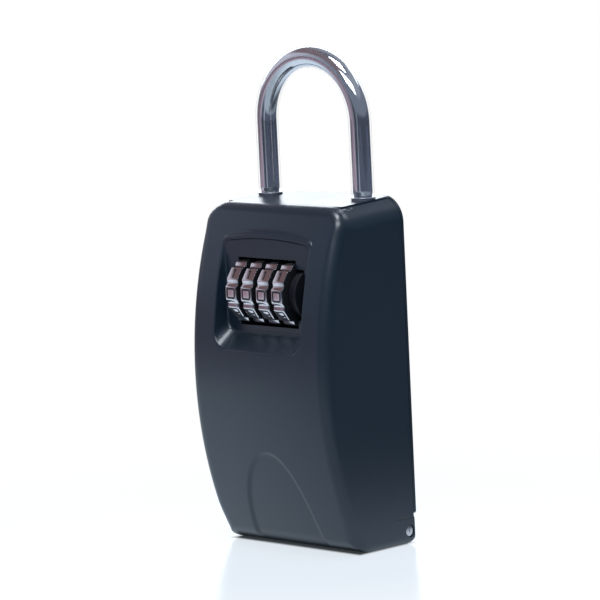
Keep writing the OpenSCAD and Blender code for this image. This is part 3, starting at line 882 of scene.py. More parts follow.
@dataclass
class Studio:
    """Pale floor, a white backdrop behind, a lit left side, a dim right side and soft lamps.

    Directions round the room are fractions of a turn, seen from above: 0 and 1 lie behind the
    box, 0.25 to the viewer's right, 0.5 at the viewer and 0.75 to the viewer's left.

    Attributes:
        floor_half: Half the floor's side, in metres.
        lamps: The lamps.
        horizon: Colours that mirrors see round the horizon.
        aloft: Colour of the left side above the horizon.
        warm: Colour of the left side high up.
        dim: Colour of the right side above the horizon.
        sheen: Colour of the right side high up.
        above: Colour overhead.
        cold: Colour of the floor's white in mirrors.
        dusk: How far the horizon is darkened.
        floor_base: Colour of the floor's matter.
        painted_near_shade: Colour of the painted bluish shade in the floor's glow near the box.
        floor_drop: How far the floor lies under the box, in metres.
        footprint: Half the box's contact in X, the middle of it in Y and half of it in Y.
        under: Share of light that the painted contact shadow leaves under the box.
        left_span: How far left a direction points where the left side starts and is full.
        rear_span: How far back it points where the left side's own colour starts and is full.
        bands: How high it points where the sides, the high sides and the overhead colour do.
        backdrop: How far back it points where the white starts and is full, and how high it ends.
        floor_far: Distances where the floor starts to whiten and is white, in metres.
        floor_away: Distances where mirrors start to see the horizon in it and see only that.
        floor_right: How far right the painted shadow that mirrors see starts and is darkest, in metres.
        floor_ahead: The same towards the viewer.
        painted_mirror_shadow: How much the painted shadow darkens the floor on the right and ahead.
        floor_glow: Share of its own light near the box, and the share that mirrors see.
    """

    floor_half: float = 1.4
    lamps: tuple[SoftBox, ...] = (
        SoftBox("lamp_top", (0.12, -0.12, 1.3), (0, 0, 0.12), (0.5, 0.5), 9.0),
        SoftBox("lamp_front", (0.54, -0.76, 1.04), (0, 0, 0.12), (1.0, 0.4), 9.0),
        SoftBox("lamp_back", (-0.95, 0.95, 0.42), (0, 0, 0.13), (1.4, 0.34), 6.5),
        SoftBox("lamp_over", (0.085, 0.92, 0.74), (0.03, 0, 0.12), (0.5, 0.14), 0.7),
    )
    horizon: tuple[tuple[float, Triple], ...] = (
        (0.0, WHITE), (0.045, WHITE), (0.08, (0.09, 0.11, 0.16)),
        (0.2, (0.07, 0.085, 0.13)), (0.565, (0.045, 0.055, 0.085)), (0.58, (0.34, 0.38, 0.46)),
        (0.6, (0.34, 0.38, 0.46)), (0.615, (0.04, 0.05, 0.08)), (0.675, (0.045, 0.055, 0.085)),
        (0.705, (0.46, 0.41, 0.49)), (0.745, (0.34, 0.24, 0.30)), (0.84, (0.34, 0.26, 0.33)),
        (0.9, (0.22, 0.19, 0.24)), (0.955, WHITE), (1.0, WHITE),
    )
    aloft: Triple = (0.58, 0.58, 0.68)
    warm: Triple = (0.165, 0.11, 0.12)
    dim: Triple = (0.14, 0.165, 0.215)
    sheen: Triple = (0.27, 0.30, 0.36)
    above: Triple = (0.10, 0.10, 0.13)
    cold: Triple = (0.74, 0.87, 1.0)
    dusk: float = 0.45
    floor_base: Triple = (0.66, 0.80, 0.95)
    # Painted bluish shade in the floor's glow near the box.
    painted_near_shade: Triple = (0.90, 0.955, 1.0)
    floor_drop: float = 0.00005
    footprint: Triple = (0.0345, 0.0077, 0.0148)
    under: float = 0.05
    left_span: Span = (-0.1, 0.4)
    rear_span: Span = (-0.45, 0.4)
    bands: tuple[Span, ...] = ((0.02, 0.14), (0.42, 0.6), (0.86, 0.95))
    backdrop: tuple[Span, Span] = ((0.86, 0.96), (0.25, 0.42))
    floor_far: Span = (0.06, 0.22)
    floor_away: Span = (0.28, 0.7)
    floor_right: Span = (0.03, 0.25)
    floor_ahead: Span = (-0.03, 0.12)
    # Painted shadow of the box on the floor that mirrors see.
    painted_mirror_shadow: Span = (0.97, 0.5)
    floor_glow: Span = (0.76, 0.95)

    def build(self) -> None:
        """Makes the floor, the world and the lamps."""
        for lamp in self.lamps:
            lamp.build()
        self._world()
        self._floor()
        bpy.context.scene.view_settings.view_transform = "Standard"

    def _world(self) -> None:
        """The room: white to the camera, and the surroundings that mirrors and light come from.

        Colours are stacked by how high a direction points: the horizon below, then the sides,
        the high sides and the overhead colour, with white behind the box up to a soft edge.
        """
        world = bpy.data.worlds.new("studio")
        bpy.context.scene.world = world
        world.use_nodes = True
        tree = Tree(world.node_tree)
        camera, _, through = tree.rays()
        way = tree.node("ShaderNodeTexCoord", output="Generated")
        rise = tree.split(way)[2]
        low, ahead = self._round(tree, way)
        behind = -ahead
        leftward = tree.dot(way, TO_LEFT).ramp(*self.left_span)
        left = tree.mix(behind.ramp(*self.rear_span), self.dim, self.aloft)
        sides = tree.mix(leftward, self.dim, left)
        high = tree.mix(leftward, self.sheen, self.warm)
        room = tree.mix(self.dusk, low, BLACK)
        for band, layer in zip(self.bands, (sides, high, self.above)):
            room = tree.mix(rise.ramp(*band), room, layer)
        back, top = self.backdrop
        backdrop = behind.ramp(*back) * (1.0 - rise.ramp(*top))
        white = (camera + through + backdrop).clamp()
        colour = tree.mix(white, room, WHITE)
        tree.end("World", tree.node("ShaderNodeBackground", {}, {"Color": colour, "Strength": 1.0}))

    def _round(self, tree: Tree, way: Wire) -> tuple[Wire, Wire]:
        """The horizon's colour in a direction, and how far it points at the viewer.

        The colour is read at the direction's angle round the box, as a fraction of a turn.

        Args:
            tree: The tree.
            way: The direction.

        Returns:
            The colour, and the direction's part towards the viewer.
        """
        ahead = tree.dot(way, TO_VIEWER)
        turn = ahead.math("ARCTAN2", tree.dot(way, TO_LEFT), ahead) / TAU + 0.5
        return tree.node("ShaderNodeValToRGB", {"ramp": self.horizon}, {"Fac": turn}), ahead

    def _painted_contact_shadow(self, tree: Tree, place: Wire) -> Wire:
        """Painted contact shadow: little light under the box, rising to 1 just outside its contact.

        Args:
            tree: The tree.
            place: Object coordinates of the floor.

        Returns:
            The share of light.
        """
        half_x, middle_y, half_y = self.footprint
        x, y, _ = tree.split(place)
        out_x, out_y = x.abs() - half_x, (y - middle_y).abs() - half_y
        inside, outside = -0.002, 0.0015
        clear = x.math("MAXIMUM", out_x, out_y).ramp(inside, outside)
        return clear * (1.0 - self.under) + self.under

    def _floor(self) -> None:
        """A pale floor that mirrors the box faintly and fades to white away from it.

        Near the box the glow that the camera sees carries a painted bluish shade and a painted
        contact shadow. Mirrors see it lit on the left and behind, with a painted shadow of the box on
        the right and towards the viewer, and see the horizon's colours far off.
        """
        size = self.floor_half
        corners = [(-size, -size, 0), (size, -size, 0), (size, size, 0), (-size, size, 0)]
        mesh = bpy.data.meshes.new("floor")
        mesh.from_pydata(corners, [], [(0, 1, 2, 3)])
        material = bpy.data.materials.new("pale_floor")
        material.use_nodes = True
        tree = Tree(material.node_tree)
        place = tree.place()
        reach = tree.vector("LENGTH", place)
        far, away = reach.ramp(*self.floor_far), reach.ramp(*self.floor_away)
        around, ahead = self._round(tree, place)
        # Painted shadow of the box on the floor that mirrors see, right and towards the viewer.
        right = tree.dot(place, TO_RIGHT).ramp(*self.floor_right)
        dark_right, dark_ahead = self.painted_mirror_shadow
        lit = (1.0 - right * dark_right) * (1.0 - ahead.ramp(*self.floor_ahead) * dark_ahead)
        lit = lit + (1.0 - lit) * away
        camera, glossy, through = tree.rays()
        seen = (camera + through).clamp()
        matter = tree.principled({
            "Base Color": _rgba(self.floor_base), "Roughness": 0.2, "Specular IOR Level": 0.5,
        })
        mirrored = tree.mix(away, self.cold, around)
        glow = tree.node("ShaderNodeEmission", {}, {
            # Painted bluish shade near the box, in the glow that the camera sees.
            "Color": tree.mix(seen, mirrored, tree.mix(far, self.painted_near_shade, WHITE)),
            # Painted contact shadow under the box dims the glow.
            "Strength": (seen + glossy * lit).clamp() * self._painted_contact_shadow(tree, place),
        })
        near, mirror = self.floor_glow
        share = (seen * (near + far * (1.0 - near)) + glossy * mirror).clamp()
        both = tree.node("ShaderNodeMixShader", {}, {0: share, 1: matter, 2: glow})
        tree.end("Material", both)
        mesh.materials.append(material)
        floor = put("floor", mesh)
        floor.location.z = -self.floor_drop


# ------------------------------------------------------------------ front cover


def at_depth(plan: Array, depth: Union[float, Array]) -> Array:
    """Plan points (X, Z) with a depth between their X and Z."""
    return np.stack([plan[..., 0], np.broadcast_to(depth, plan.shape[:-1]), plan[..., 1]], -1)


@dataclass
class FrontCover:
    """The deep front cover: curved front, rounded edges, dial window, pressed arch, top notch.

    Lengths are in millimetres. Depths are measured forwards from the back plane.

    Attributes:
        half_width: Half the width.
        height: Height of the top's rear edge.
        depth: Depth of the crown.
        front_radius: Radius of the front, seen from the side.
        crown: Height of the crown.
        wall: Wall thickness.
        slope: Fall of the top per millimetre of depth.
        inset: How far inside the outline the rays start that find the rounded edge.
        rear: Depth of the rear rim.
        notch_depth: Depth of the notch's front edge.
        notch_half: Half width of the notch.
        pin: Depth and height of the hinge pin.
        lug_gap: Radius of the room round the hinge lugs.
        lug_end: Outer end of that room.
        barrel_half: Half length of the hinge barrel.
        heel: Radius of the side walls' heel.
        heel_rear: Depth of the heel's rear edge.
        top_radius: Radius of the top corners behind the notch, and how much tighter they end.
        top_change: Depths between which that radius changes.
        edge_radius: Radius of the front's edges, how much less at the top, and more at the foot.
        edge_change: Heights between which it changes, at the top and at the foot.
        least_edge: Radius that the inner skin's edges keep.
        foot_radius: Radius of the bottom corners.
        least_radius: Radius that the inner skin's bottom corners keep.
        window: Half width, bottom and top of the window's edge.
        window_sag: Radius of the window's sagging top.
        window_gap: How far outside the edge the shell starts, and its inner skin.
        window_corner: Radius of the bottom corners of both.
        opening: Left, right, bottom and top of the dials' opening.
        step: Middle and half height of the opening's wide part, and half its narrow width.
        floor_depth: Depth of the window's floor.
        floor_wall: Thickness of that floor.
        arch: Half width, height, depth and slope width of the pressed arch.
        pin_bores: Radius and inner end of each bore for the pin.
        counts: Points on each stretch of a loop.
    """

    half_width: float = 36.0
    height: float = 132.0
    depth: float = 45.5
    front_radius: float = 153.7
    crown: float = 67.0
    wall: float = 2.2
    slope: float = math.tan(math.radians(2.8))
    inset: float = 9.0
    rear: float = 1.4
    notch_depth: float = 26.7
    notch_half: float = 30.2
    pin: Span = (3.6, 5.0)
    lug_gap: float = 5.3
    lug_end: float = 33.5
    barrel_half: float = 28.0
    heel: float = 3.0
    heel_rear: float = 1.0
    top_radius: Span = (9.5, 2.4)
    top_change: Span = (27.0, 34.0)
    edge_radius: Triple = (4.0, 1.0, 1.7)
    edge_change: tuple[Span, ...] = ((118, 128), (3, 16))
    least_edge: float = 0.9
    foot_radius: float = 3.0
    least_radius: float = 0.8
    window: Triple = (22.9, 76.5, 119.9)
    window_sag: float = 138.0
    window_gap: Span = (1.2, 2.0)
    window_corner: Span = (7.2, 7.8)
    opening: tuple[float, float, float, float] = (-17.75, 19.4, 85.34, 111.06)
    step: Triple = (98.2, 9.5, 15.3)
    floor_depth: float = 37.4
    floor_wall: float = 1.6
    arch: tuple[float, float, float, float] = (18.7, 38.4, 0.8, 1.9)
    pin_bores: tuple[Span, ...] = ((1.95, 32.0), (2.3, 35.2))
    counts: LoopCounts = LoopCounts()

    @property
    def back_y(self) -> float:
        """Y of the back plane."""
        return self.depth / 2

    @property
    def axis_depth(self) -> float:
        """Depth of the front curve's axis, behind the back plane."""
        return self.depth - self.front_radius

    def front_depth(self, z: Array, inset: float = 0.0) -> Array:
        """Depth of the curved front at heights z: a circle of the front radius round its axis."""
        radius = self.front_radius - inset
        return self.axis_depth + np.sqrt(radius**2 - (z - self.crown) ** 2)

    def foot_corner(self, inset: float) -> float:
        """Radius of the bottom corners at an inset."""
        return max(self.foot_radius - inset, self.least_radius)

    def outline(self, inset: float) -> Rounded:
        """The front view outline at an inset.

        Args:
            inset: Distance inside the outer face.

        Returns:
            The outline, with a point on the top corners where the notch ends.
        """
        r_top = self.top_radius[0] - inset
        half = self.half_width - inset
        cut = math.degrees(math.asin((self.notch_half + self.top_radius[0] - self.half_width) / r_top))
        foot = self.foot_corner(inset)
        return Rounded(-half, half, inset, self.height - inset, foot, r_top, cut)

    def top_at(self, depth: Array, inset: float) -> Array:
        """Height of the sloping top at a depth."""
        return self.height - inset - self.slope * depth

    def distance(self, points: Array, inset: float) -> Array:
        """Signed distance to the housing's form, less than 0 inside.

        The form is where a rounded rectangle in X and Z meets the front's cylinder, with a
        rounded edge between them whose radius changes with height.

        Args:
            points: X, depth and Z, ... by 3.
            inset: Distance inside the outer face.

        Returns:
            The distances.
        """
        x, d, z = np.moveaxis(points, -1, 0)
        top, foot = self.top_at(d, inset), inset
        middle, half_h = (top + foot) / 2, (top - foot) / 2
        wide, tighter = self.top_radius
        r_top = wide - inset - tighter * smoothstep(d, *self.top_change)
        r = np.where(z > middle, r_top, self.foot_corner(inset))
        side = self.joined(np.abs(x) - self.half_width + inset, np.abs(z - middle) - half_h, r)
        front = np.hypot(d - self.axis_depth, z - self.crown) - self.front_radius + inset
        (middle_edge, less, more), (high, low) = self.edge_radius, self.edge_change
        edge = middle_edge - less * smoothstep(z, *high) + more * (1 - smoothstep(z, *low))
        return self.joined(side, front, np.maximum(edge - inset, self.least_edge))

    @staticmethod
    def joined(a: Array, b: Array, radius: Array) -> Array:
        """Two signed distances joined by a rounded corner of a radius.

        Outside, it is the length of both plus the radius, less the radius; inside, the larger.

        Args:
            a: First distance.
            b: Second distance.
            radius: Radius of the corner.

        Returns:
            The joint distance.
        """
        a, b = a + radius, b + radius
        corner = np.hypot(np.maximum(a, 0), np.maximum(b, 0)) - radius
        return corner + np.minimum(np.maximum(a, b), 0)

    def cast(self, start: Array, way: Array, inset: float) -> Array:
        """Where rays from inside meet the form, found by halving an interval.

        Args:
            start: Ray starts, ... by 3.
            way: Unit directions.
            inset: Distance inside the outer face.

        Returns:
            The meeting points.
        """
        farthest, halvings = 40.0, 34
        low = np.zeros(start.shape[:-1])
        high = np.full(start.shape[:-1], farthest)
        for _ in range(halvings):
            middle = (low + high) / 2
            inside = self.distance(start + way * middle[..., None], inset) < 0
            low, high = np.where(inside, middle, low), np.where(inside, high, middle)
        return start + way * low[..., None]

    def window_loop(self, grow: float, sill: float, corner: float) -> Array:
        """The window's outline, with a top that sags to both sides.

        Args:
            grow: Distance outside the window's edge.
            sill: How much higher the bottom edge stands.
            corner: Radius of the bottom corners.

        Returns:
            X and Z of each point.
        """
        (half, foot, top), tight, sag_from, sag_full = self.window, 1.6, 100, 119
        loop, _ = Rounded(-half - grow, half + grow, foot - grow + sill, top + grow, corner,
                          tight + max(grow, 0), 45.0).loop(self.counts)
        upper = smoothstep(loop[:, 1], sag_from, sag_full)
        sag = loop[:, 0] ** 2 / (2 * self.window_sag) * upper
        return np.stack([loop[:, 0], loop[:, 1] - sag], -1)

    def window_rims(self) -> list[Array]:
        """The loops round the window where the shell's outer and inner skins start."""
        return [self.window_loop(*rim) for rim in zip(self.window_gap, (0.0, 0.0), self.window_corner)]

    def arch_sink(self, x: Array, z: Array) -> Array:
        """How deep the arch is pressed in: a soft step across a half ellipse at the foot.

        The distance to the ellipse is its equation's value over the length of its slope.

        Args:
            x: X of the points.
            z: Z of the points.

        Returns:
            Depths in millimetres.
        """
        a, b, sunk, width = self.arch
        value = (x / a) ** 2 + (z / b) ** 2 - 1
        slope = 2 * np.hypot(x / a**2, z / b**2) + 1e-6
        inside = 1 - smoothstep(value / slope, -width, 0)
        foot, full = 0.2, 4.0
        return sunk * inside * smoothstep(z, foot, full)

    def press_arch(self, points: Array) -> Array:
        """Moves front points towards the front curve's axis by the arch's depth.

        Args:
            points: X, depth and Z.

        Returns:
            The moved points.
        """
        front_only = 20
        sink = self.arch_sink(points[..., 0], points[..., 2]) * (points[..., 1] > front_only)
        dd, dz = points[..., 1] - self.axis_depth, points[..., 2] - self.crown
        length = np.hypot(dd, dz)
        out = points.copy()
        out[..., 1] -= sink * dd / length
        out[..., 2] -= sink * dz / length
        return out

    def to_frame(self, points: Array) -> Array:
        """X, depth and Z as X, Y and Z of the shared frame."""
        out = points.copy()
        out[..., 1] = self.back_y - points[..., 1]
        return out

    def skin(self, inset: float, first: Array, fractions: Array, sweep_deg: Array,
             steps_back: tuple[int, int]) -> Array:
        """One skin of the cover, from a loop round the window out to the rear rim.

        Rows run first over the front: X and Z go in straight lines from the first loop to a loop
        inside the outline, and depth is that of the curved front. Then rays that turn from
        forwards to sideways find the rounded edge, and the last rows run back along the walls.

        Args:
            inset: Distance inside the outer face.
            first: X and Z of the first loop.
            fractions: Where the front rows lie, from 0 to 1.
            sweep_deg: Angles of the rays.
            steps_back: Rows from the edge to the lugs, and from there to the rear rim.

        Returns:
            X, depth and Z, rows by columns by 3.
        """
        loop, lift = self.outline(inset).loop(self.counts)
        half, tight, lower = self.half_width - self.inset, 1.0, 2.0
        core, _ = Rounded(-half, half, self.inset, self.height - self.inset - lower, tight,
                          tight).loop(self.counts)
        core_depth = self.core_depth(core[:, 1], lift)
        plan = first + fractions[:, None, None] * (core - first)
        front = at_depth(plan, self.front_depth(plan[..., 1], inset))
        wall = self.wall_loop(loop, lift, core_depth, inset)
        start = at_depth(core, core_depth)
        out = (wall - start) * (1, 0, 1)
        out /= np.linalg.norm(out, axis=1, keepdims=True)
        angle = np.radians(sweep_deg)[:, None, None]
        way = np.cos(angle) * np.array([0.0, 1.0, 0.0]) + np.sin(angle) * out
        edge = self.cast(np.broadcast_to(start, way.shape), way, inset)
        lug, rear = self.lug_depth(loop), self.rear_depth(loop)
        n, m = steps_back
        depths = [core_depth + (lug - core_depth) * k / n for k in range(1, n + 1)]
        depths += [lug + (rear - lug) * math.sin(k / m * math.pi / 2) for k in range(1, m + 1)]
        back = np.stack([self.wall_loop(loop, lift, depth, inset) for depth in depths])
        return np.concatenate([front, edge, back])

    def core_depth(self, z: Array, lift: Array) -> Array:
        """Depth where the rays start: the notch's edge at the top, further back elsewhere.

        Args:
            z: Heights of the ray starts.
            lift: Share of the top's lift that each point follows.

        Returns:
            The depths.
        """
        behind, blend_from = 12.5, 0.8
        deep = self.front_depth(z) - behind
        blended = deep + (self.notch_depth - deep) * smoothstep(lift, blend_from, 1.0)
        return np.where(lift >= 1, self.notch_depth, blended)

    def wall_loop(self, loop: Array, lift: Array, depth: Array, inset: float) -> Array:
        """The outline's points at a depth, following the sloping top and the rounded heel.

        Args:
            loop: X and Z of the outline.
            lift: Share of the top's lift that each point follows.
            depth: Depth of each point.
            inset: Distance inside the outer face.

        Returns:
            X, depth and Z.
        """
        z = loop[:, 1] - self.slope * depth * lift
        side = np.abs(loop[:, 0]) > self.lug_end
        radius = np.where(side, self.heel, self.pin[1])
        ahead = np.where(side, self.heel_rear + self.heel, self.pin[0]) - depth
        heel = radius - np.sqrt(np.maximum(radius**2 - np.maximum(ahead, 0) ** 2, 0))
        over_heel = 0.8 if inset else 0.0
        z = np.maximum(z, heel + over_heel)
        return np.stack([loop[:, 0], depth, z], -1)

    def lug_depth(self, loop: Array) -> Array:
        """Depth of the front of the room round the hinge lugs: a circle round the pin."""
        rise = np.clip(loop[:, 1] - self.pin[1], -self.lug_gap, self.lug_gap)
        return self.pin[0] + np.sqrt(self.lug_gap**2 - rise**2)

    def rear_depth(self, loop: Array) -> Array:
        """Depth of the rear rim, which stands further back round the pin."""
        side, low, high = np.abs(loop[:, 0]) > self.lug_end, 9.8, 10.8
        heel = self.heel_rear + (self.rear - self.heel_rear) * smoothstep(loop[:, 1], low, high)
        return np.where(side, heel, self.rear)

    def build(self) -> None:
        """Makes the shell, the window's bezel and the hinge barrel."""
        shell = self.build_shell()
        for piece in (shell, self.build_bezel(), self.build_barrel()):
            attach(piece, "door")
        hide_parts("front_cover")

    def build_shell(self) -> bpy.types.Object:
        """The shell round the window.

        Its outer skin has every row. The inner skin has fewer of them on the front, and all of
        them on the walls, where the notch and the hinge lugs' room are left open.

        Returns:
            The object.
        """
        front, backs = 96, (5, 9)
        fractions = np.linspace(0, 1, front)
        sweep = np.concatenate([np.linspace(*span) for span in ((4, 32, 7), (34, 60, 18), (64, 90, 8))])
        near, far = self.window_rims()
        outer = self.press_arch(self.skin(0.0, near, fractions, sweep, backs))
        inner = self.skin(self.wall, far, fractions, sweep, backs)
        rows, columns = outer.shape[:2]
        last = rows - 1 - sum(backs)
        on_front, on_edge = 8, 3
        sparse = {*range(0, front, on_front), front - 1, *range(front, last, on_edge)}
        inner_rows = sorted(sparse | {*range(last, rows)})
        loop, lift = self.outline(0.0).loop(self.counts)
        centre = (loop + np.roll(loop, -1, 0)) / 2
        across = np.abs(centre[:, 0])
        keep = np.ones((rows - 1, columns), bool)
        keep[last:, (lift >= 1) & (across < self.notch_half)] = False
        lug_top, clear = 1.2, 2.0
        lugs = (centre[:, 1] < lug_top) & (across > self.barrel_half) & (across < self.lug_end)
        keep[rows - 1 - backs[1]:, lugs] = False
        points = self.to_frame(np.concatenate([outer, inner[inner_rows]]).reshape(-1, 3))
        faces = shell_faces(keep, columns, inner_rows, rows)
        shell = make_piece("cover_shell", points, faces, Coat.COVER, sharp_deg=40.0)
        pin, past = (self.back_y - self.pin[0], self.pin[1]), self.half_width + clear
        for side in (-1, 1):
            for radius, start in self.pin_bores:
                cut_bore(shell, radius, sorted((side * start, side * past)), pin)
        return shell

    def build_bezel(self) -> bpy.types.Object:
        """The window's floor, walls and edge.

        Rows follow four straight stretches joined by quadratic curves: floor, wall, edge and
        front. The inner skin is a flat-backed pocket.

        Returns:
            The object.
        """
        tight, even, corner_row = 0.8, 45.0, 12
        opening, _ = Rounded(*self.opening, tight, tight, even).loop(self.counts)
        middle, wide_half, narrow = self.step
        beyond = np.abs(opening[:, 1] - middle) > wide_half
        opening[:, 0] = np.where(beyond, np.clip(opening[:, 0], -narrow, narrow), opening[:, 0])
        floor_edge = self.window_loop(-0.5, sill=5.5, corner=4.8)
        edge = self.window_loop(0.0, sill=0.0, corner=6.3)
        out, pocket = self.window_rims()
        a, b = (at_depth(plan, self.floor_depth) for plan in (opening, floor_edge))
        c = at_depth(edge, np.maximum(self.front_depth(edge[:, 1]), self.floor_depth))
        d = at_depth(out, self.front_depth(out[:, 1]))
        rows = [a + (b - a) * t for t in np.linspace(0, 0.9, num=10)]
        rows += self.soft_corner(a, b, c, 1.1) + self.soft_corner(b, c, d, 0.7) + [d]
        outer = np.stack(rows)
        back = self.floor_depth - self.floor_wall
        deep = np.maximum(self.front_depth(pocket[:, 1], self.wall), back)
        inner = np.stack([at_depth(opening, back), at_depth(pocket, back), at_depth(pocket, deep)])
        points = self.to_frame(np.concatenate([outer, inner]).reshape(-1, 3))
        count, columns = outer.shape[:2]
        keep = np.ones((count - 1, columns), bool)
        faces = shell_faces(keep, columns, [0, corner_row, count - 1], count)
        return make_piece("window_bezel", points, faces, Coat.COVER, sharp_deg=60.0)

    @staticmethod
    def soft_corner(a: Array, b: Array, c: Array, reach: float, steps: int = 8) -> list[Array]:
        """Rows on the quadratic curve that rounds the corner b between a and c.

        Args:
            a: Points before the corner.
            b: Corner points.
            c: Points after the corner.
            reach: How far the curve reaches along both sides, at most 45 % of them.
            steps: Number of rows.

        Returns:
            The rows.
        """
        def step_to(end: Array) -> Array:
            """The point on the way to end where the curve meets the straight."""
            way = end - b
            length = np.linalg.norm(way, axis=1, keepdims=True) + 1e-9
            return b + way / length * np.minimum(reach, 0.45 * length)

        return [bend(step_to(a), b, step_to(c), t) for t in np.linspace(0, 1, steps)]

    def build_barrel(self) -> bpy.types.Object:
        """The hinge barrel along the foot: a round bar with a bore and a flat rear.

        Returns:
            The object.
        """
        around, slack, bevel, bore_radius, end_share = 72, 0.02, 0.35, 1.96, 0.94
        circle = on_circle(whole_turn(around))
        outer = circle * self.pin[1]
        outer[:, 0] = np.maximum(outer[:, 0], self.rear - self.pin[0] + slack)
        bore, end = circle * bore_radius, outer * end_share
        half = self.barrel_half - slack
        rings = [(bore, -half), (end, -half), (outer, -half + bevel), (outer, half - bevel),
                 (end, half), (bore, half), (bore, -half)]
        points = np.stack([np.column_stack([np.full(around, x), ring + self.pin])
                           for ring, x in rings])
        points = self.to_frame(points.reshape(-1, 3))
        quads = grid_quads(len(rings), around)
        return make_piece("cover_barrel", points, quads, Coat.COVER, sharp_deg=40.0, merge_mm=MERGE_MM)


# ------------------------------------------------------------------ dials


@dataclass
class Dials:
    """Four dials of ten flat pads, with numbers.

    Attributes:
        radius: Distance from the axle to a pad.
        width: Width of a dial.
        pitch: Distance between dials.
        place: Y and Z of the axle.
        groove: Depth of the grooves.
        groove_half: Half width of a groove's foot.
        soften: How far the curves reach at a pad's edges and at a groove's foot.
        pad_half: Half width of a pad's flat.
        bore: Radius of the bore.
        hub: Radius up to which the dial's faces are flat.
        bevel: Width of the bevels towards both faces.
        stroke: Width of a number's stroke.
        size: Width and height of a number, with its margin.
    """

    radius: float = 12.5
    width: float = 5.7
    pitch: float = 8.1
    place: Span = (-10.15, 98.2)
    groove: float = 0.55
    groove_half: float = 0.2
    soften: Span = (0.28, 0.15)
    pad_half: float = 2.45
    bore: float = 2.06
    hub: float = 9.6
    bevel: float = 0.42
    stroke: float = 0.72
    size: Span = (4.4, 4.1)

    def build(self) -> None:
        """Makes the dials and their numbers."""
        for number in range(4):
            x = (number - 1.5) * self.pitch
            dial = self.build_dial(f"dial_ring_{number + 1}", x)
            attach(dial, f"dial_{number + 1}")
            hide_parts(f"dial_{number + 1}")
            ink = self.build_numbers(f"dial_numbers_{number + 1}", x)
            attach(ink, f"dial_{number + 1}")

    def rim(self, inset: float) -> Array:
        """The dial's section: ten flats with rounded V grooves between.

        Each pad has two corners at the pad's reach and two points at the foot of the groove
        after it, all less the inset.

        Args:
            inset: Distance that the section is brought in, in millimetres.

        Returns:
            Y and Z offsets from the axle, N by 2.
        """
        foot = self.radius - self.groove
        half_foot = math.asin(self.groove_half / foot)
        corner = math.atan(self.pad_half / self.radius)
        reach = math.hypot(self.pad_half, self.radius)
        pads, step = math.radians(36) * np.arange(10)[:, None], math.radians(18)
        angles = pads + np.array([-corner, corner, step - half_foot, step + half_foot])
        radii = np.array([reach, reach, foot, foot])[:, None] - inset
        outline = (on_circle(angles) * radii).reshape(-1, 2)
        pad, valley = self.soften
        return round_corners(outline, [pad, pad, valley, valley] * 10, 4)

    def build_dial(self, name: str, x: float) -> bpy.types.Object:
        """One dial as rings of its section, bevelled towards both faces.

        Args:
            name: Object's name.
            x: Middle of the dial.

        Returns:
            The object.
        """
        half, bevel, part = self.width / 2, self.bevel, self.bevel * 0.3
        full, low, round_off = self.rim(0.0), self.rim(bevel), self.rim(part)
        circle = on_circle(np.arctan2(full[:, 1], full[:, 0]))
        bore, hub = circle * self.bore, circle * self.hub
        rings = [(bore, -half), (hub, -half), (low, -half), (round_off, -half + part),
                 (full, -half + bevel), (full, half - bevel), (round_off, half - part),
                 (low, half), (hub, half), (bore, half), (bore, -half)]
        points = np.stack([np.column_stack([np.full(len(full), x + dx), self.place + ring * (-1, 1)])
                           for ring, dx in rings])
        quads = grid_quads(len(rings), len(full))
        dial = make_piece(name, points.reshape(-1, 3), quads, Coat.DIAL,
                          sharp_deg=25.0, merge_mm=MERGE_MM)
        dial.data.materials.append(Coat.FLANK.material())
        faces_and_bore = (0, 1, 7, 8, 9)
        black = np.isin(np.arange(len(quads)) // len(full), faces_and_bore).astype(np.int32)
        dial.data.polygons.foreach_set("material_index", black)
        return dial

    def build_numbers(self, name: str, x: float) -> bpy.types.Object:
        """The ten numbers of a dial, as thin inked strokes on the pads.

        Args:
            name: Object's name.
            x: Middle of the dial.

        Returns:
            The object.
        """
        points, faces = np.empty((0, 3)), []
        for number in range(10):
            for path, closed in numeral(number, *self.size):
                strip, quads = ribbon(path, closed, self.stroke)
                faces += (quads + len(points)).tolist()
                points = np.vstack([points, self.on_pad(strip, math.radians(36) * number, x)])
        return make_piece(name, points, faces, Coat.INK, sharp_deg=40.0)

    def on_pad(self, flat: Array, angle: float, x: float) -> Array:
        """Lays flat points on a pad: turned round the axle by its angle, at its radius.

        Args:
            flat: Across, up and out, N by 3.
            angle: The pad's angle above the front.
            x: Middle of the dial.

        Returns:
            X, Y and Z.
        """
        out = self.radius + flat[:, 2]
        y = self.place[0] - (out * math.cos(angle) - flat[:, 1] * math.sin(angle))
        z = self.place[1] + out * math.sin(angle) + flat[:, 1] * math.cos(angle)
        return np.stack([x + flat[:, 0], y, z], -1)


def ribbon(path: Array, closed: bool, width: float) -> tuple[Array, Array]:
    """A flat stroke of constant width along a path, slightly thick.

    Each section has four corners: half the width to both sides of the path, and from just under
    the surface to just above it.

    Args:
        path: X and Y of the path's points.
        closed: Whether its last point joins its first.
        width: Width of the stroke.

    Returns:
        Points and quads.
    """
    if closed:
        along = np.roll(path, -1, 0) - np.roll(path, 1, 0)
    else:
        along = np.gradient(path, axis=0)
    along /= np.linalg.norm(along, axis=1, keepdims=True)
    across = np.stack([-along[:, 1], along[:, 0]], -1) * width / 2
    under, over = -0.05, 0.03
    low, high = (np.full((len(path), 1), level) for level in (under, over))
    section = [np.hstack([path + across, low]), np.hstack([path + across, high]),
               np.hstack([path - across, high]), np.hstack([path - across, low])]
    points = np.stack(section, 1).reshape(-1, 3)
    if closed:
        return points, grid_quads(len(path) + 1, 4) % len(points)
    ends = np.array([[0, 1, 2, 3], [0, 1, 2, 3]]) + [[0], [len(points) - 4]]
    return points, np.vstack([grid_quads(len(path), 4), ends])


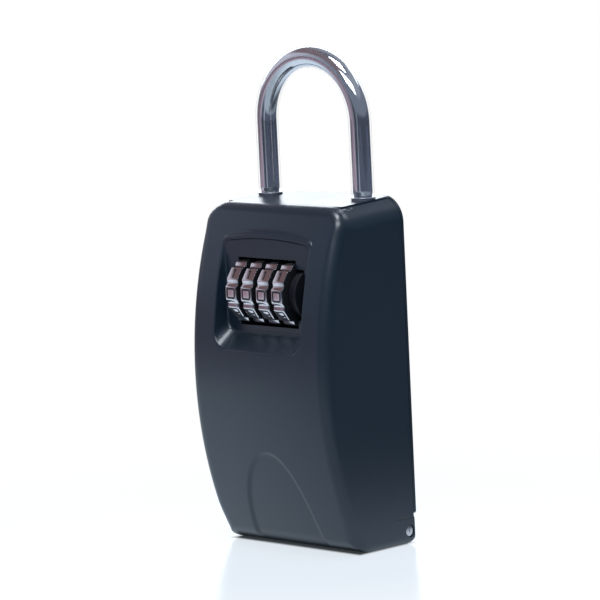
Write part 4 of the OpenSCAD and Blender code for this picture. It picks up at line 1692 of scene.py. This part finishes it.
def numeral(number: int, width: float, height: float) -> list[tuple[Array, bool]]:
    """Plain numbers drawn as squarish strokes.

    Args:
        number: 0 to 9.
        width: Width of the number with its margin.
        height: Height of the number with its margin.

    Returns:
        Paths in millimetres round the number's middle, each with whether it is closed.
    """
    margin, box_corner, line_corner = 0.6, 0.7, 0.5
    w, h = (width - margin) / 2, (height - margin) / 2

    def box(z0: float, z1: float) -> tuple[Array, bool]:
        """A closed box with rounded corners."""
        corners = np.array([(-w, z0), (w, z0), (w, z1), (-w, z1)], float)
        return round_corners(corners, [box_corner] * 4, 6), True

    def line(*corners: Span) -> tuple[Array, bool]:
        """An open path whose inner corners are rounded."""
        points = np.array(corners, float)
        radii = [0.0] + [line_corner] * (len(points) - 2) + [0.0]
        return round_corners(points, radii, 5), False

    shapes = {
        0: [box(-h, h)],
        1: [line((-w * 0.45, h * 0.6), (0.05, h), (0.05, -h))],
        2: [line((-w, h * 0.55), (-w, h), (w, h), (w, 0.1), (-w, -h), (w, -h))],
        3: [line((-w, h), (w, h), (w, 0), (-w * 0.3, 0)), line((w, 0), (w, -h), (-w, -h))],
        4: [line((w * 0.45, -h), (w * 0.45, h), (-w, -h * 0.35), (w, -h * 0.35))],
        5: [line((w, h), (-w, h), (-w, 0.1), (w, 0.1), (w, -h), (-w, -h))],
        6: [line((w * 0.9, h), (-w, h), (-w, -h * 0.5)), box(-h, 0.15)],
        7: [line((-w, h), (w, h), (-w * 0.2, -h))],
        8: [box(-h, 0.0), box(0.0, h)],
        9: [box(-0.15, h), line((w, h * 0.5), (w, -h), (-w * 0.9, -h))],
    }
    return shapes[number]


# ------------------------------------------------------------------ shackle


@dataclass
class Shackle:
    """The plated bar with its clear sleeve and the two collars.

    Attributes:
        leg_x: Half the distance between the legs.
        leg_y: Y of the legs.
        spring: Height where the bow begins.
        bar: Radius of the bar.
        sleeve: Outer radius of the sleeve.
        sleeve_low: Height where the sleeve starts.
        short_end: Lower end of the short leg.
        long_end: Lower end of the long leg.
        collar_low: Underside of the collars, in their counterbores.
        collar_lip: Height of the lip that lies on the top.
        collar_top: Height of the collars' tops.
        collar_radii: Radius of the collars' shank, of their lip's underside and of its top.
        swell: How much thicker the bar is inside the sleeve, whose clear wall magnifies it.
        slack: Gap between the bar and the sleeve.
        rounding: How far the bar's ends and the sleeve's ends are rounded.
        necks: Low end, high end and depth of each neck, and whether only the long leg has it.
    """

    leg_x: float = 24.65
    leg_y: float = 13.25
    spring: float = 160.1
    bar: float = 3.5
    sleeve: float = 4.4
    sleeve_low: float = 133.4
    short_end: float = 106.0
    long_end: float = 76.0
    collar_low: float = 130.02
    collar_lip: float = 131.9
    collar_top: float = 132.4
    collar_radii: Triple = (4.48, 4.79, 4.7)
    swell: float = 0.22
    slack: float = 0.03
    rounding: Span = (1.0, 0.5)
    necks: tuple[tuple[float, float, float, bool], ...] = (
        (110.1, 113.4, 1.2, False), (82.1, 85.4, 1.2, True), (79.5, 81.2, 0.9, True),
    )

    def path(self, left_end: float, right_end: float, leg: int, bow: int = 64) -> tuple[Array, Array]:
        """The bar's middle line: up the left leg, over the bow and down the right leg.

        Args:
            left_end: Height of the left end.
            right_end: Height of the right end.
            leg: Points on each leg.
            bow: Points on the bow.

        Returns:
            X and Z of each point, and the unit direction outwards from the bow's middle.
        """
        up = np.stack([np.full(leg, -self.leg_x), np.linspace(left_end, self.spring, leg)], -1)
        bend_out = on_circle(np.linspace(math.pi, 0, bow)[1:-1])
        over = bend_out * self.leg_x + [0.0, self.spring]
        down = np.stack([np.full(leg, self.leg_x), np.linspace(self.spring, right_end, leg)], -1)
        out = np.vstack([np.tile([-1.0, 0.0], (leg, 1)), bend_out, np.tile([1.0, 0.0], (leg, 1))])
        return np.vstack([up, over, down]), out

    def tube(self, path: Array, out: Array, radius: Array, around: int = 48) -> Array:
        """A round section carried along the path.

        Each point is the path's point plus the radius times (cos a outwards, sin a along Y).

        Args:
            path: X and Z.
            out: Outward directions.
            radius: Radius at each point.
            around: Points round the section.

        Returns:
            X, Y and Z, rows by around by 3.
        """
        cos, sin = on_circle(whole_turn(around)).T
        r = radius[:, None]
        x, z = (path[:, k:k + 1] + out[:, k:k + 1] * r * cos for k in (0, 1))
        return np.stack([x, self.leg_y + r * sin, z], -1)

    def build(self) -> None:
        """Makes bar, sleeve and collars."""
        bar = self.build_bar()
        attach(bar, "shackle")
        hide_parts("shackle")
        sleeve = self.build_sleeve()
        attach(sleeve, "shackle")
        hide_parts("shackle_sleeve")
        for side, word in ((-1, "left"), (1, "right")):
            collar = self.build_collar(f"collar_{word}", side)
            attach(collar, "case")
            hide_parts(f"shackle_seal_{word}")

    def build_bar(self) -> bpy.types.Object:
        """The bar, with rounded ends, locking necks and the ring groove.

        Returns:
            The object.
        """
        path, out = self.path(self.short_end, self.long_end, 90)
        x, z = path.T
        end = np.where(x < 0, self.short_end, self.long_end)
        reach = self.rounding[0]
        radius = self.bar - np.clip(reach - (z - end), 0, reach) ** 2
        on_leg = np.abs(np.abs(x) - self.leg_x) < 1e-6
        for low, high, deep, long_only in self.necks:
            inside = on_leg & (z > low) & (z < high) & ((x > 0) | (not long_only))
            radius = np.where(inside, self.bar - deep, radius)
        entry = 0.6
        radius += self.swell * smoothstep(z, self.sleeve_low, self.sleeve_low + entry)
        rows = self.tube(path, out, radius)
        caps = [np.broadcast_to(row.mean(0), row.shape)[None] for row in (rows[0], rows[-1])]
        points = np.concatenate([caps[0], rows, caps[1]])
        quads = grid_quads(len(points), rows.shape[1])
        return make_piece("shackle_bar", points.reshape(-1, 3), quads, Coat.CHROME,
                          sharp_deg=35.0, merge_mm=MERGE_MM)

    def build_sleeve(self) -> bpy.types.Object:
        """The clear sleeve: a tube with soft lips at both ends.

        Returns:
            The object.
        """
        path, out = self.path(self.sleeve_low, self.sleeve_low, 40)
        reach, fall = self.rounding[1], 0.9
        lip = np.clip(reach - (path[:, 1] - self.sleeve_low), 0, reach)
        outside = self.tube(path, out, self.sleeve - lip * fall)
        inside = self.tube(path, out, np.full(len(path), self.bar + self.swell + self.slack))
        points = np.concatenate([outside, inside[::-1], outside[:1]])
        quads = grid_quads(len(points), outside.shape[1])
        return make_piece("shackle_sleeve_clear", points.reshape(-1, 3), quads, Coat.SLEEVE,
                          sharp_deg=50.0, merge_mm=MERGE_MM)

    def build_collar(self, name: str, side: int) -> bpy.types.Object:
        """A soft collar: a turned ring whose lip flares a little.

        Args:
            name: Object's name.
            side: -1 for the left leg, 1 for the right.

        Returns:
            The object.
        """
        fit, lip_rise = 0.08, 0.06
        inner, low, lip, top = self.bar + fit, self.collar_low, self.collar_lip, self.collar_top
        shank, under, over = self.collar_radii
        profile = np.array([(inner, low), (shank, low), (shank, lip), (under, lip + lip_rise),
                            (over, top), (inner, top)])
        profile = round_corners(profile, radii=[0.1, 0.15, 0.0, 0.12, 0.22, 0.25])
        points, quads = closed_lathe(profile, columns=56)
        place = (side * self.leg_x, self.leg_y, 0.0)
        return make_piece(name, points + place, quads, Coat.COLLAR, sharp_deg=50.0)


# ------------------------------------------------------------------ carried-over solids


SOLIDS: dict[Coat, tuple[str, ...]] = {
    Coat.BODY: ("back_body",),
    Coat.PIN: (
        "hinge_pin", "dial_axle", "latch_bolt", "hook_screw", "lever_pivot", "retainer_screws",
        "strike_screws", "housing_screws",
    ),
    Coat.SPRING: ("shackle_ring", "detent_spring", "fence_springs", "latch_springs"),
    Coat.ZINC: (
        "fence_bar", "shackle_lock_slider", "slider_retainer", "strike_plate", "key_hook",
        "code_change_lever",
    ),
    Coat.PLASTIC: ("lock_housing", "gate_cam_1", "gate_cam_2", "gate_cam_3", "gate_cam_4"),
}


def dress_solids() -> None:
    """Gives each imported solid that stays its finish."""
    for coat, names in SOLIDS.items():
        for name in names:
            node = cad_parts[name]
            node.data.materials.clear()
            node.data.materials.append(coat.material())
            LOG.info("solid %s: %s", name, coat.value.name)


def main() -> None:
    """Builds the studio, then each sub-assembly in order."""
    Viewpoint().build()
    Studio().build()
    dress_solids()
    for part in (FrontCover(), Dials(), Shackle()):
        part.build()
        LOG.info("built %s", type(part).__name__)


if __name__ == "__main__":
    main()
